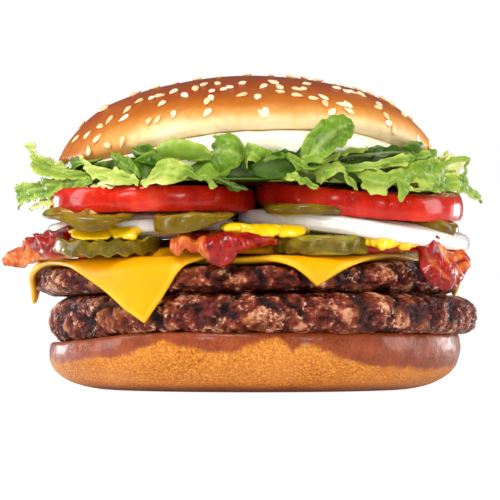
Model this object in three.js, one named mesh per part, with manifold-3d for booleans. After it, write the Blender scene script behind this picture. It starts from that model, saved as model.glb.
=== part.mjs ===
// A double cheeseburger as a stack of separate solids, in millimetres.
// +Z is up, the origin is the middle of the bottom bun's flat underside, and -Y is the front.
// From the bottom: bottom bun, two beef patties, two draped cheese slices, crinkle-cut pickles and
// bacon, onion slices, jalapeno slices, tomato slices, lettuce, mayonnaise, and the domed top bun.
import * as THREE from "three";
import { mergeVertices } from "three/addons/utils/BufferGeometryUtils.js";
import Module from "manifold-3d";

const wasm = await Module();
wasm.setup();

// ---------- driving dimensions ----------
const GAP = 0.3; // clearance between pieces that touch
const KEEP = 0.32; // how much a piece is enlarged when a later piece is cut clear of it
const SEG = 30; // segments round the large layers
const SEG_SMALL = 18; // segments round a topping slice

const HEEL_R = 55.2; // bottom bun
const HEEL_FLAT_R = 40;
const HEEL_H = 15.2;
const HEEL_SAG = 2.4; // how much lower its top is at the left side

const LOWER = { x: 2.7, y: 0, r: 57.2, top: 24.6, edge: 5.0 };
const UPPER = { x: -2.3, y: 0, r: 56.2, bottom: 25.0, top: 33.2, sag: 1.7, edge: 4.0 };

const EDGE_POWER = 2.4; // how square the patties' edges are

const CHEESE_SIDE = 83;
const CHEESE_T = 1.8;
const BEND_GAP = 1.0;
const CHEESE_LEFT = { x: -17.9, y: -8.8, turn: -14.8 }; // turn: degrees of the front corner from -Y
const CHEESE_RIGHT = { x: 2.5, y: -3.5, turn: 14.0 };

const PICKLE_T = 3.6;
const CRINKLE = { height: 0.55, pitch: 4.6 };
const ONION_T = 3.4;
const TOMATO_T = 6.4;

const CROWN = { x: -2.6, r: 50.4, z: 61.4, dome: 19.8, equator: 2.8, hollow: 1.2, leanY: -0.03, leanX: 0.02 };
const BACON_T = 2.1;
const MAYO_T = 2.0;
const MAYO_R = 47.6;
const LETTUCE_R = 57.5;

// ---------- small tools ----------
const rad = (d) => (d * Math.PI) / 180;
const clamp = (v, a, b) => Math.min(b, Math.max(a, v));
const smooth = (a, b, v) => {
  const t = clamp((v - a) / (b - a), 0, 1);
  return t * t * (3 - 2 * t);
};
const bump = (x, y, cx, cy, s) => Math.exp(-((x - cx) ** 2 + (y - cy) ** 2) / (2 * s * s));
// Slow, repeatable unevenness of an outline.
const wobble = (th, seed) =>
  0.5 * Math.cos(2 * th + seed * 1.7) + 0.3 * Math.cos(3 * th + seed * 2.9) + 0.2 * Math.cos(5 * th + seed * 4.1);

// Moves every vertex of a geometry by a function of its place only, so that shared vertices stay shared.
function reshape(geometry, fn) {
  const p = geometry.getAttribute("position");
  for (let i = 0; i < p.count; i++) {
    const [x, y, z] = fn(p.getX(i), p.getY(i), p.getZ(i));
    p.setXYZ(i, x, y, z);
  }
  p.needsUpdate = true;
  return geometry;
}

// A solid of revolution about Z from [radius, height] pairs, bottom first.
function turned(profile, segments) {
  const g = new THREE.LatheGeometry(profile.map(([r, z]) => new THREE.Vector2(r, z)), segments);
  g.rotateX(Math.PI / 2);
  return g;
}

function toSolid(geometry) {
  const g = geometry.clone();
  g.deleteAttribute("normal");
  g.deleteAttribute("uv");
  const m = mergeVertices(g, 1e-3);
  const solid = new wasm.Manifold(
    new wasm.Mesh({
      numProp: 3,
      vertProperties: new Float32Array(m.attributes.position.array),
      triVerts: new Uint32Array(m.index.array),
    }),
  );
  if (solid.volume() > 0) return solid;
  const t = new Uint32Array(m.index.array);
  for (let i = 0; i < t.length; i += 3) [t[i + 1], t[i + 2]] = [t[i + 2], t[i + 1]];
  return new wasm.Manifold(
    new wasm.Mesh({ numProp: 3, vertProperties: new Float32Array(m.attributes.position.array), triVerts: t }),
  );
}

function toGeometry(solid) {
  const m = solid.getMesh();
  const v = new Float32Array(m.numVert * 3);
  for (let i = 0; i < m.numVert; i++) v.set(m.vertProperties.subarray(i * m.numProp, i * m.numProp + 3), i * 3);
  const g = new THREE.BufferGeometry();
  g.setAttribute("position", new THREE.BufferAttribute(v, 3));
  g.setIndex(new THREE.BufferAttribute(new Uint32Array(m.triVerts), 1));
  g.computeVertexNormals();
  return g;
}

// The largest piece left of a after the others are cut away.
function carve(a, ...others) {
  let s = a;
  for (const o of others) s = s.subtract(o);
  const parts = s.decompose().sort((p, q) => q.volume() - p.volume());
  return parts[0];
}

// ---------- the surfaces that the layers share ----------
const heelTop = (x) => HEEL_H - HEEL_SAG * smooth(22, 55, -x);
const lowerTop = (x, y) => LOWER.top + 0.25 * Math.sin(x * 0.11 + 1) * Math.cos(y * 0.09);
const upperTop = (x, y) =>
  UPPER.top - UPPER.sag * smooth(22, 54, Math.hypot(x - UPPER.x, y)) + 2.4 * bump(x, y, 43, -34, 10) + 0.8 * bump(x, y, -50, -12, 12);
const crownRho = (x, y) => Math.hypot(x - CROWN.x, y);
const crownPlane = (x, y) => CROWN.z + CROWN.leanY * y + CROWN.leanX * x;
const crownUnder = (x, y) => crownPlane(x, y) + CROWN.hollow * (1 - smooth(28, 45, crownRho(x, y)));

// A round layer between two height surfaces, with a rounded edge.
function layer({ cx, cy, radius, zBottom, zTop, edge, grow = 0, segments = SEG, rings = [0.6], round = 5, power = 2.6 }) {
  const profile = [[0, 0], ...rings.map((f) => [f, 0])];
  for (let k = 0; k <= round; k++) {
    const a = rad(-90 + (180 * k) / round);
    const c = Math.abs(Math.cos(a)) < 1e-9 ? 0 : Math.cos(a) ** (2 / power);
    const s = Math.sign(Math.sin(a)) * Math.abs(Math.sin(a)) ** (2 / power);
    profile.push([1 + c, 0.5 + 0.5 * s]);
  }
  profile.push(...rings.slice().reverse().map((f) => [f, 1]), [0, 1]);
  return reshape(turned(profile, segments), (px, py, pz) => {
    const f = Math.hypot(px, py);
    const th = f > 1e-9 ? Math.atan2(py, px) : 0;
    const R = radius(th) + grow;
    const r = f <= 1 ? f * (R - edge) : R - edge + (f - 1) * edge;
    const x = cx + r * Math.cos(th);
    const y = cy + r * Math.sin(th);
    const lo = zBottom(x, y, f) - grow;
    const hi = zTop(x, y, f) + grow;
    return [x, y, lo + (hi - lo) * pz];
  });
}

// ---------- bottom bun ----------
const heelProfile = [
  [0, 0], [HEEL_FLAT_R, 0], [47.2, 1.3], [51.2, 2.7], [53.6, 4.8], [HEEL_R, 8.4], [HEEL_R, 12.0],
  [54.4, HEEL_H], [30, HEEL_H], [0, HEEL_H],
];
const bottomBun = () =>
  reshape(turned(heelProfile, SEG), (x, y, z) => {
    const th = Math.atan2(y, x);
    const k = 1 + (Math.hypot(x, y) > HEEL_FLAT_R ? 0.006 * wobble(th, 3) : 0);
    return [x * k, y * k, (z * heelTop(x)) / HEEL_H];
  });

// ---------- patties ----------
const lowerR = (th) => LOWER.r * (1 + 0.008 * wobble(th, 1.3));
const upperR = (th) => UPPER.r * (1 + 0.008 * wobble(th, 4.4));
const lowerPatty = (grow) =>
  layer({
    cx: LOWER.x, cy: LOWER.y, radius: lowerR, edge: LOWER.edge, grow,
    zBottom: (x) => heelTop(x) + GAP, zTop: lowerTop, power: EDGE_POWER,
  });
const upperPatty = (grow) =>
  layer({
    cx: UPPER.x, cy: UPPER.y, radius: upperR, edge: UPPER.edge, grow,
    zBottom: () => UPPER.bottom, zTop: upperTop, power: EDGE_POWER,
  });

// ---------- cheese: a flat square slice laid over the upper patty and bent down round its edge ----------
const slicePlace = (s, u, v) => {
  const c = Math.cos(rad(s.turn + 45));
  const d = Math.sin(rad(s.turn + 45));
  return [s.x + c * u - d * v, s.y + d * u + c * v];
};
const sliceInside = (s, x, y) => {
  const c = Math.cos(rad(s.turn + 45));
  const d = Math.sin(rad(s.turn + 45));
  const u = c * (x - s.x) + d * (y - s.y);
  const v = -d * (x - s.x) + c * (y - s.y);
  return Math.max(Math.abs(u), Math.abs(v)) - CHEESE_SIDE / 2;
};
function cheese(slice, lift, grow = 0) {
  const n = 11;
  const side = CHEESE_SIDE + 2 * grow;
  const g = new THREE.BoxGeometry(side, side, CHEESE_T + 2 * grow, n, n, 1);
  return reshape(g, (u, v, w) => {
    const [x, y] = slicePlace(slice, u, v);
    const qx = x - UPPER.x;
    const qy = y - UPPER.y;
    const rho = Math.hypot(qx, qy);
    const th = Math.atan2(qy, qx);
    const start = upperR(th) - UPPER.edge;
    const edgeX = UPPER.x + start * Math.cos(th);
    const edgeY = UPPER.y + start * Math.sin(th);
    const edgeZ = upperTop(edgeX, edgeY);
    const half = (edgeZ - UPPER.bottom) / 2;
    const arc = ((UPPER.edge + half) / 2 + CHEESE_T / 2 + GAP) * 1.08;
    const over = rho - start;
    // It stands off the bend a little, as a stiff slice does.
    const loose = BEND_GAP * Math.sin(Math.PI * clamp((over + 5) / ((arc * Math.PI) / 2 + 7), 0, 1));
    const off = GAP + loose + lift(x, y) + w + CHEESE_T / 2;
    if (over <= 0) return [x, y, upperTop(x, y) + off];
    // Follow the patty's rounded edge at a distance, then hang straight down.
    const a = Math.min(over / arc, Math.PI / 2);
    const down = Math.max(0, over - (arc * Math.PI) / 2);
    const sa = Math.sin(a);
    const ca = Math.max(0, Math.cos(a));
    const pw = 2 / EDGE_POWER;
    const nr = sa ** (2 - pw) / UPPER.edge;
    const nz = ca ** (2 - pw) / half;
    const nl = Math.hypot(nr, nz);
    const r = start + UPPER.edge * sa ** pw + ((off + 0.1) * nr) / nl;
    const z = edgeZ - half + half * ca ** pw + (off * nz) / nl - down;
    return [UPPER.x + r * Math.cos(th), UPPER.y + r * Math.sin(th), z];
  });
}
const LIFT = CHEESE_T + GAP + 0.45;
const leftLift = (x, y) => LIFT * (1 - smooth(2.5, 10, sliceInside(CHEESE_RIGHT, x, y)));
const STACK = UPPER.top + GAP + 2 * CHEESE_T + GAP + 0.45; // top of the two slices where they lie on each other

// ---------- round topping slices ----------
// A slice of radius r and thickness t whose middle is at x, y, z, tilted by slopeX and slopeY and drooping past rimR.
function disc({ x, y, z, r, t, slopeX = 0, slopeY = 0, droop = 0, rimR = 38, seed = 0, uneven = 0.02, edge = 1.2, segments = SEG_SMALL, rings = [0.55] }, grow = 0) {
  const e = edge / r;
  const c = Math.min(0.42, edge / t);
  const profile = [[0, -0.5], ...rings.map((f) => [f, -0.5]), [1 - e, -0.5], [1, -0.5 + c], [1, 0.5 - c], [1 - e, 0.5], ...rings.slice().reverse().map((f) => [f, 0.5]), [0, 0.5]];
  return reshape(turned(profile, segments), (px, py, pz) => {
    const R = (r + grow) * (1 + uneven * wobble(Math.atan2(py, px), seed));
    const dx = px * R;
    const dy = py * R;
    const rho = Math.hypot(x + dx - UPPER.x, y + dy);
    return [x + dx, y + dy, z + slopeX * dx + slopeY * dy + pz * (t + 2 * grow) - droop * Math.max(0, rho - rimR) ** 2];
  });
}

// A crinkle-cut slice: both faces carry the same straight waves, the rim is round.
function crinkled({ x, y, z, r, t, turn, slopeX = 0, slopeY = 0, seed = 0 }, grow = 0) {
  const R = r + grow;
  const steps = Math.round((2 * R * 1.1) / (CRINKLE.pitch / 3));
  const outline = new THREE.Shape();
  const wave = (u) => CRINKLE.height * Math.sin((2 * Math.PI * u) / CRINKLE.pitch + seed);
  for (let i = 0; i <= steps; i++) {
    const u = -1.1 * R + (2.2 * R * i) / steps;
    if (i === 0) outline.moveTo(u, wave(u) - t / 2 - grow);
    else outline.lineTo(u, wave(u) - t / 2 - grow);
  }
  for (let i = steps; i >= 0; i--) {
    const u = -1.1 * R + (2.2 * R * i) / steps;
    outline.lineTo(u, wave(u) + t / 2 + grow);
  }
  const waves = new THREE.ExtrudeGeometry(outline, { depth: 2.4 * R, bevelEnabled: false });
  waves.translate(0, 0, -1.2 * R);
  waves.rotateX(Math.PI / 2);
  const puck = reshape(new THREE.CylinderGeometry(R, R, 3 * t + 4, SEG_SMALL).rotateX(Math.PI / 2), (px, py, pz) => {
    const k = 1 + 0.03 * wobble(Math.atan2(py, px), seed);
    return [px * k, py * k, pz];
  });
  const g = toGeometry(toSolid(waves).intersect(toSolid(puck)));
  g.rotateZ(rad(turn));
  return reshape(g, (px, py, pz) => [x + px, y + py, z + pz + slopeX * px + slopeY * py]);
}

// ---------- bacon: wavy strips, each led along a few stations ----------
// stations: [x, y, z, width, roll, heading of the width], angles in degrees; the width rolls about the path.
function bacon({ stations, waves, height, t = BACON_T, nLong = 13, nWide = 2 }, grow = 0) {
  const curve = new THREE.CatmullRomCurve3(stations.map((s) => new THREE.Vector3(s[0], s[1], s[2])));
  const along = (k, i) => {
    const f = clamp(k, 0, 1) * (stations.length - 1);
    const a = Math.min(Math.floor(f), stations.length - 2);
    return THREE.MathUtils.lerp(stations[a][i], stations[a + 1][i], f - a);
  };
  const g = new THREE.BoxGeometry(1, 1, 1, nLong, nWide, 1);
  return reshape(g, (u, v, w) => {
    const k = u + 0.5;
    const p = curve.getPoint(k);
    const q = curve.getPoint(Math.min(1, k + 0.01)).sub(curve.getPoint(Math.max(0, k - 0.01))).normalize();
    const heading = rad(along(k, 5));
    const side = new THREE.Vector3(Math.cos(heading), Math.sin(heading), 0);
    side.addScaledVector(q, -side.dot(q)).normalize();
    const up = q.clone().cross(side).normalize();
    const roll = rad(along(k, 4));
    const across = side.clone().multiplyScalar(Math.cos(roll)).add(up.clone().multiplyScalar(Math.sin(roll)));
    const normal = q.clone().cross(across).normalize();
    const ends = 0.72 + 0.28 * Math.sqrt(Math.max(0, 1 - (2 * k - 1) ** 8));
    const off = v * (along(k, 3) + 2 * grow) * ends;
    const lift = w * (t + 2 * grow) + height * Math.sin(2 * Math.PI * (waves * k + 0.12 * v));
    return p.add(across.multiplyScalar(off)).add(normal.multiplyScalar(lift)).toArray();
  });
}

// ---------- where the toppings lie ----------
const PICKLES = {
  pickle_front_left: { x: -37.4, y: -36, r: 13.2, z: 37.5, turn: 62, slopeX: 0.03, slopeY: 0.1, seed: 1 },
  pickle_front_right: { x: 17, y: -41.4, r: 12.2, z: 37.6, turn: 96, slopeX: 0, slopeY: 0.1, seed: 2 },
  pickle_back_right: { x: 35, y: 29, r: 13.2, z: 37.2, turn: 20, slopeX: -0.05, slopeY: -0.05, seed: 3 },
  pickle_back_left: { x: -33, y: 35, r: 13.2, z: 37.7, turn: -30, slopeX: 0.05, slopeY: -0.07, seed: 4 },
};
const ONIONS = {
  onion_left: { x: -29.8, y: -16.5, r: 24.2, z: 43.1, slopeX: 0.01, slopeY: 0.035, droop: 0.003, seed: 6 },
  onion_right: { x: 26.6, y: -18.5, r: 29.6, z: 42.9, slopeX: -0.07, slopeY: 0.02, droop: 0.004, seed: 7 },
  onion_back: { x: 0, y: 33, r: 22, z: 43.2, slopeY: -0.03, droop: 0.003, seed: 8 },
};
const TOMATOES = {
  tomato_left: { x: -26.9, y: -21.5, r: 26.0, z: 49.7, slopeX: -0.01, slopeY: 0.03, droop: 0.002, seed: 9 },
  tomato_right: { x: 28.6, y: -21.5, r: 27.0, z: 50.2, slopeX: -0.07, slopeY: 0.115, droop: 0.001, seed: 10 },
  tomato_back: { x: -1, y: 32.4, r: 24.4, z: 50.0, slopeY: -0.04, droop: 0.002, seed: 11 },
};
const JALAPENOS = {
  jalapeno_left: { x: -41.5, y: -42.5, r: 11.6, z: 43.8, t: 3.6, slopeX: 0, slopeY: 0.14, seed: 12 },
  jalapeno_centre: { x: -15.4, y: -48.2, r: 10, z: 42.6, t: 5.2, slopeX: 0.03, slopeY: 0.1, seed: 13 },
  jalapeno_inner: { x: 13, y: -41, r: 10.6, z: 45.9, t: 2.6, slopeX: -0.07, slopeY: 0.03, seed: 14 },
  jalapeno_right: { x: 46.6, y: -29, r: 8.8, z: 42.8, t: 3.2, slopeX: -0.12, slopeY: 0.12, seed: 15 },
  jalapeno_back: { x: -37, y: 26, r: 11, z: 44.4, t: 3.6, slopeX: 0.05, slopeY: -0.06, seed: 16 },
};
const baconZ = STACK + 1.8;
const BACON = {
  bacon_left: {
    stations: [[-67, -18, 33.8, 10, -14, 88], [-60, -18, 36.0, 16, -20, 90], [-52, -16, 38.4, 17, -22, 96], [-42, -9, 39.4, 15, -8, 108], [-30, -4, baconZ, 15, 0, 98], [-10, -2, baconZ, 15, 0, 90]],
    waves: 3.2, height: 0.55,
  },
  bacon_centre: {
    stations: [[-9.5, -59.4, 32.6, 15, 0, -4], [-9.2, -58.2, 35.8, 17, 0, -2], [-8.5, -50, 38.4, 18, 0, 0], [-8, -36, baconZ, 16, 0, 0], [-8, -16, baconZ, 15, 0, 0]],
    waves: 2.2, height: 0.5,
  },
  bacon_right: {
    stations: [[49.8, -35.6, 27.0, 15, 0, 40], [50, -35.6, 34.2, 17, 0, 44], [45.8, -29.6, 38.4, 17, 0, 50], [37, -18, baconZ, 15, 0, 66], [22, -9, baconZ, 14, 0, 84], [-2, -6, baconZ, 14, 0, 90]],
    waves: 2.6, height: 0.4,
  },
  bacon_back: {
    stations: [[4.5, 59.2, 32.8, 14, 0, 178], [4, 58.0, 36.0, 16, 0, 179], [2, 49, 38.4, 17, 0, 180], [1, 36, baconZ, 16, 0, 180], [0, 12, baconZ, 15, 0, 180]],
    waves: 2.4, height: 0.5,
  },
};

// ---------- mayonnaise and top bun ----------
const mayoR = (th) => MAYO_R + 0.9 * Math.sin(5 * th + 1) + 0.7 * Math.sin(9 * th);
const mayo = (grow) =>
  layer({
    cx: CROWN.x, cy: 0, radius: mayoR, edge: 2.2, segments: 28, round: 3, rings: [0.62],
    zTop: (x, y) => crownUnder(x, y) - GAP - 0.2 + grow,
    zBottom: (x, y, f) => crownUnder(x, y) - GAP - 0.2 - MAYO_T - (f > 0.95 ? 0.8 + 0.5 * Math.sin(0.3 * x) : 0) - grow,
  });
const crownProfile = [[0, CROWN.hollow], [28, CROWN.hollow], [37, CROWN.hollow * 0.46], [45.6, 0], [48.6, 0.25], [50, 1.3], [CROWN.r, CROWN.equator]];
for (const deg of [15, 30, 45, 60, 75]) {
  crownProfile.push([CROWN.r * Math.cos(rad(deg)), CROWN.equator + CROWN.dome * Math.sin(rad(deg))]);
}
crownProfile.push([0, CROWN.equator + CROWN.dome]);
const topBun = (grow) =>
  reshape(turned(crownProfile, SEG), (x, y, z) => {
    const k = 1 + 0.007 * wobble(Math.atan2(y, x), 8);
    const wx = CROWN.x + x * k;
    const wy = y * k;
    return [wx, wy, crownPlane(wx, wy) + z - grow];
  });

// ---------- lettuce: a springy heap out to its uneven outline ----------
const lobe = (th, at, width) => Math.exp(-((Math.atan2(Math.sin(th - rad(at)), Math.cos(th - rad(at))) / width) ** 2));
const frill = (th) =>
  LETTUCE_R * (1 + 0.02 * Math.sin(7 * th + 0.6) + 0.014 * Math.sin(12 * th + 2.1)) +
  5.6 * lobe(th, 184, 0.22) + 3 * lobe(th, 354, 0.24) - 2.6 * lobe(th, 270, 0.5);
const tomatoTop = (x, y) => {
  let z = 0;
  for (const s of Object.values(TOMATOES)) {
    const d = Math.hypot(x - s.x, y - s.y);
    const droop = s.droop * Math.max(0, Math.hypot(x - UPPER.x, y) - 38) ** 2;
    const top = s.z + (s.slopeX || 0) * (x - s.x) + s.slopeY * (y - s.y) + TOMATO_T / 2 - droop;
    z = Math.max(z, top - 3.4 * smooth(s.r - 1, s.r + 8, d));
  }
  return z;
};
// Leaves that stand up outside the top bun's rim: [heading in degrees, half-width in radians, height].
const STANDING = [[-68, 0.16, 4.6], [178, 0.2, 3.4], [-112, 0.12, 1.6], [60, 0.16, 2.4], [120, 0.14, 1.8], [10, 0.14, 1.2]];
const lettuceTop = (x, y) => {
  const rho = crownRho(x, y);
  const th = Math.atan2(y, x);
  const inside = crownUnder(x, y) - 2 * GAP - MAYO_T - 0.7;
  let out = crownPlane(x, y) - 1.2 + 0.9 * Math.sin(0.35 * x + 0.2 * y);
  for (const [at, w, h] of STANDING) out += h * lobe(th, at, w) * smooth(50, 53, rho);
  return inside + (out - inside) * smooth(47.6, 52, rho) - 3.4 * smooth(56, 66, rho);
};
const lettuceBottom = (x, y) => Math.min(lettuceTop(x, y) - 1.5, tomatoTop(x, y) + GAP + 0.5);
const lettuce = () =>
  layer({
    cx: 0, cy: 0, radius: frill, edge: 4, zBottom: lettuceBottom, zTop: lettuceTop,
    segments: 36, rings: [0.45, 0.82], round: 3, power: 2,
  });

// ---------- the pieces ----------
const group = new THREE.Group();
group.name = "double_cheeseburger";
const finish = (color, roughness) => new THREE.MeshStandardMaterial({ color, roughness, metalness: 0 });
const looks = {
  crown: finish(0xc77a30, 0.35),
  heel: finish(0xcf8433, 0.6),
  beef: finish(0x5e2f1d, 0.5),
  cheese: finish(0xfdb913, 0.35),
  pickle: finish(0x7d8328, 0.3),
  bacon: finish(0xa8261a, 0.3),
  onion: finish(0xf0ecdf, 0.25),
  jalapeno: finish(0x8a8a2c, 0.3),
  tomato: finish(0xd22b1c, 0.2),
  lettuce: finish(0x86b93a, 0.45),
  mayonnaise: finish(0xf6f1df, 0.3),
};
const placed = []; // [name, enlarged solid]

// Adds a piece, cut clear of every piece already placed that it would touch.
function add(name, make, look) {
  let body = toSolid(make(0));
  for (const [, keep] of placed) {
    if (body.intersect(keep).volume() > 1e-4) body = carve(body, keep);
  }
  placed.push([name, toSolid(make(KEEP))]);
  const mesh = new THREE.Mesh(toGeometry(body), looks[look]);
  mesh.name = name;
  group.add(mesh);
}

add("bottom_bun", () => bottomBun(), "heel");
placed.length = 0; // the lower patty's underside already follows the bottom bun
add("patty_lower", () => lowerPatty(0), "beef");
placed.length = 0;
add("patty_upper", () => upperPatty(0), "beef");
add("cheese_right", (g) => cheese(CHEESE_RIGHT, () => 0, g), "cheese");
add("cheese_left", (g) => cheese(CHEESE_LEFT, leftLift, g), "cheese");
for (const [n, s] of Object.entries(PICKLES)) add(n, (g) => crinkled({ ...s, t: PICKLE_T }, g), "pickle");
for (const [n, s] of Object.entries(BACON)) add(n, (g) => bacon(s, g), "bacon");
for (const [n, s] of Object.entries(ONIONS)) add(n, (g) => disc({ ...s, t: ONION_T, edge: 1.4, uneven: 0.012, rings: [] }, g), "onion");
for (const [n, s] of Object.entries(TOMATOES)) add(n, (g) => disc({ ...s, t: TOMATO_T, edge: 1.6, uneven: 0.012, segments: 22, rings: [0.6] }, g), "tomato");
for (const [n, s] of Object.entries(JALAPENOS)) add(n, (g) => disc({ ...s, edge: 1.4, uneven: 0.03, segments: 16, rings: [] }, g), "jalapeno");
add("top_bun", topBun, "crown");
placed.pop();
placed.push(["top_bun", toSolid(topBun(KEEP))]);
add("mayonnaise", mayo, "mayonnaise");
add("lettuce", () => lettuce(), "lettuce");

export default group;
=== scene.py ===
"""A double cheeseburger's looks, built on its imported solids. Lengths are in millimetres until a mesh is made."""
import math
import bpy
import numpy as np
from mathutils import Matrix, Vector


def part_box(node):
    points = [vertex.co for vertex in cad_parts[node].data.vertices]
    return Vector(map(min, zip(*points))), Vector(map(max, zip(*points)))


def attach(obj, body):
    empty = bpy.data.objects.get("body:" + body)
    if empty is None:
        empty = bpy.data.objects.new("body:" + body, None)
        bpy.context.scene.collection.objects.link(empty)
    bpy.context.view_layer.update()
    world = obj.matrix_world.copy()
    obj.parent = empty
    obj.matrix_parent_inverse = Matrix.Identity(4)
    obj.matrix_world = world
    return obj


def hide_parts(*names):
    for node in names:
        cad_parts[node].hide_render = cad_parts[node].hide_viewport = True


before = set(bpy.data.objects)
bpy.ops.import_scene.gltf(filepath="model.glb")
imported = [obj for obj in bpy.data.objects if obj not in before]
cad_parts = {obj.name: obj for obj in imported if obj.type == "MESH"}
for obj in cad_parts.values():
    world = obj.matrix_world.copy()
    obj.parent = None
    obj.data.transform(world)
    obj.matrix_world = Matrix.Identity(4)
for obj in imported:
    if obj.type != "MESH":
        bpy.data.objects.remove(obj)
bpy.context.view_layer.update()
MM = 0.001
TAU = 2 * math.pi


def box(node):
    lo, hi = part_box(node)
    return np.array(lo) / MM, np.array(hi) / MM


# ------------------------------------------------------------------ noise
_r = np.random.RandomState(11)
_PERM = np.concatenate([_r.permutation(256)] * 4)
_GRAD = _r.normal(size=(256, 3))
_GRAD /= np.linalg.norm(_GRAD, axis=1)[:, None]


def noise(p, size, seed=0.0):
    """Smooth noise, about -1 to 1, with features of that size in millimetres."""
    shape = p.shape[:-1]
    q = p.reshape(-1, 3) / size + np.array([13.7, 5.3, 8.9]) * (seed + 1)
    i = np.floor(q).astype(int)
    f = q - i
    u = f * f * f * (f * (f * 6 - 15) + 10)
    i &= 255
    out = np.zeros(len(q))
    for dx in (0, 1):
        for dy in (0, 1):
            for dz in (0, 1):
                h = _PERM[_PERM[_PERM[(i[:, 0] + dx) & 255] + ((i[:, 1] + dy) & 255)] + ((i[:, 2] + dz) & 255)]
                g = (_GRAD[h] * (f - (dx, dy, dz))).sum(1)
                w = (u[:, 0] if dx else 1 - u[:, 0]) * (u[:, 1] if dy else 1 - u[:, 1]) * (u[:, 2] if dz else 1 - u[:, 2])
                out += g * w
    return (out * 1.6).reshape(shape)


def fbm(p, size, octaves=3, seed=0.0, gain=0.5):
    out, a = 0, 1.0
    for k in range(octaves):
        out = out + a * noise(p, size / 2**k, seed + 3.1 * k)
        a *= gain
    return out


def ridged(p, size, seed=0.0):
    return 1 - 2 * np.abs(noise(p, size, seed))


def lumps(p, size, seed=0):
    """Rounded lumps of that size in millimetres: 1 in the middle of a lump, down to about 0 in the creases between them."""
    shape = p.shape[:-1]
    q = p.reshape(-1, 3) / size + np.array([31.7, 17.3, 9.1]) * (seed + 1)
    i = np.floor(q).astype(int)
    best = np.full(len(q), 9.0)
    for dx in (-1, 0, 1):
        for dy in (-1, 0, 1):
            for dz in (-1, 0, 1):
                c = i + (dx, dy, dz)
                h = _PERM[_PERM[_PERM[c[:, 0] & 255] + (c[:, 1] & 255)] + (c[:, 2] & 255)]
                at = c + 0.5 + 0.42 * _GRAD[h]
                best = np.minimum(best, ((q - at) ** 2).sum(1))
    return (1 - np.clip(best / 0.62, 0, 1)).reshape(shape)


def smooth(a, b, v):
    t = np.clip((np.asarray(v, float) - a) / (b - a), 0, 1)
    return t * t * (3 - 2 * t)


def gauss(v, s):
    return np.exp(-(v / s) ** 2)


# ------------------------------------------------------------------ meshes
def build(name, V, quads=None, tris=None, material=None, attrs=None, slot=None, stands_for=(), stage=False):
    V = np.asarray(V, np.float32) * MM
    quads = np.zeros((0, 4), int) if quads is None else np.asarray(quads)
    tris = np.zeros((0, 3), int) if tris is None else np.asarray(tris)
    me = bpy.data.meshes.new(name)
    me.vertices.add(len(V))
    me.vertices.foreach_set("co", V.ravel())
    loops = np.concatenate([quads.ravel(), tris.ravel()]).astype(np.int32)
    me.loops.add(len(loops))
    me.loops.foreach_set("vertex_index", loops)
    starts = np.concatenate([np.arange(len(quads)) * 4, len(quads) * 4 + np.arange(len(tris)) * 3]).astype(np.int32)
    me.polygons.add(len(starts))
    me.polygons.foreach_set("loop_start", starts)
    me.polygons.foreach_set("use_smooth", np.ones(len(starts), bool))
    me.update(calc_edges=True)
    me.validate()
    for key, values in (attrs or {}).items():
        a = me.attributes.new(key, "FLOAT", "POINT")
        a.data.foreach_set("value", np.asarray(values, np.float32).ravel())
    o = bpy.data.objects.new(name, me)
    bpy.context.scene.collection.objects.link(o)
    if material:
        me.materials.append(material)
    if stage:
        return o
    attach(o, "root")
    if stands_for:
        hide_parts(*stands_for)
    return o


def wheel_faces(m, n):
    """Faces of m rings of n points between a first and a last pole."""
    j, i = np.meshgrid(np.arange(m - 1), np.arange(n), indexing="ij")
    k = (i + 1) % n
    quads = np.stack([1 + j * n + i, 1 + j * n + k, 1 + (j + 1) * n + k, 1 + (j + 1) * n + i], -1).reshape(-1, 4)
    i = np.arange(n)
    k = (i + 1) % n
    last = 1 + m * n
    top = 1 + (m - 1) * n
    tris = np.concatenate([np.stack([0 * i, 1 + k, 1 + i], -1), np.stack([0 * i + last, top + i, top + k], -1)])
    return quads, tris


def wheel(name, R, material, attrs=None, **kw):
    """A closed solid from rings R (m, n, 3), bottom first, each counter-clockwise from above."""
    m, n, _ = R.shape
    V = np.concatenate([R[0].mean(0)[None], R.reshape(-1, 3), R[-1].mean(0)[None]])
    q, t = wheel_faces(m, n)
    at = {k: np.concatenate([[a[0].mean()], a.ravel(), [a[-1].mean()]]) for k, a in (attrs or {}).items()}
    return build(name, V, q, t, material, at, **kw)


def ring_normals(R):
    n = np.cross(np.roll(R, -1, 1) - np.roll(R, 1, 1), np.gradient(R, axis=0))
    return n / np.maximum(np.linalg.norm(n, axis=2, keepdims=True), 1e-9)


def grid_normals(P):
    n = np.cross(np.gradient(P, axis=0), np.gradient(P, axis=1))
    return n / np.maximum(np.linalg.norm(n, axis=2, keepdims=True), 1e-9)


def catmull(pts, n):
    """n points along a smooth line through pts, evenly spaced by length; extra columns are carried along."""
    pts = np.asarray(pts, float)
    p = np.concatenate([[2 * pts[0] - pts[1]], pts, [2 * pts[-1] - pts[-2]]])
    dense = []
    for k in range(1, len(p) - 2):
        t = np.linspace(0, 1, 24, endpoint=False)[:, None]
        a, b, c, d = p[k - 1], p[k], p[k + 1], p[k + 2]
        dense.append(0.5 * (2 * b + (c - a) * t + (2 * a - 5 * b + 4 * c - d) * t * t + (3 * b - a - 3 * c + d) * t**3))
    dense = np.concatenate(dense + [pts[-1:]])
    dims = min(3, dense.shape[1])
    s = np.concatenate([[0], np.cumsum(np.linalg.norm(np.diff(dense[:, :dims], axis=0), axis=1))])
    want = np.linspace(0, s[-1], n)
    return np.stack([np.interp(want, s, dense[:, c]) for c in range(dense.shape[1])], 1)


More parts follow.
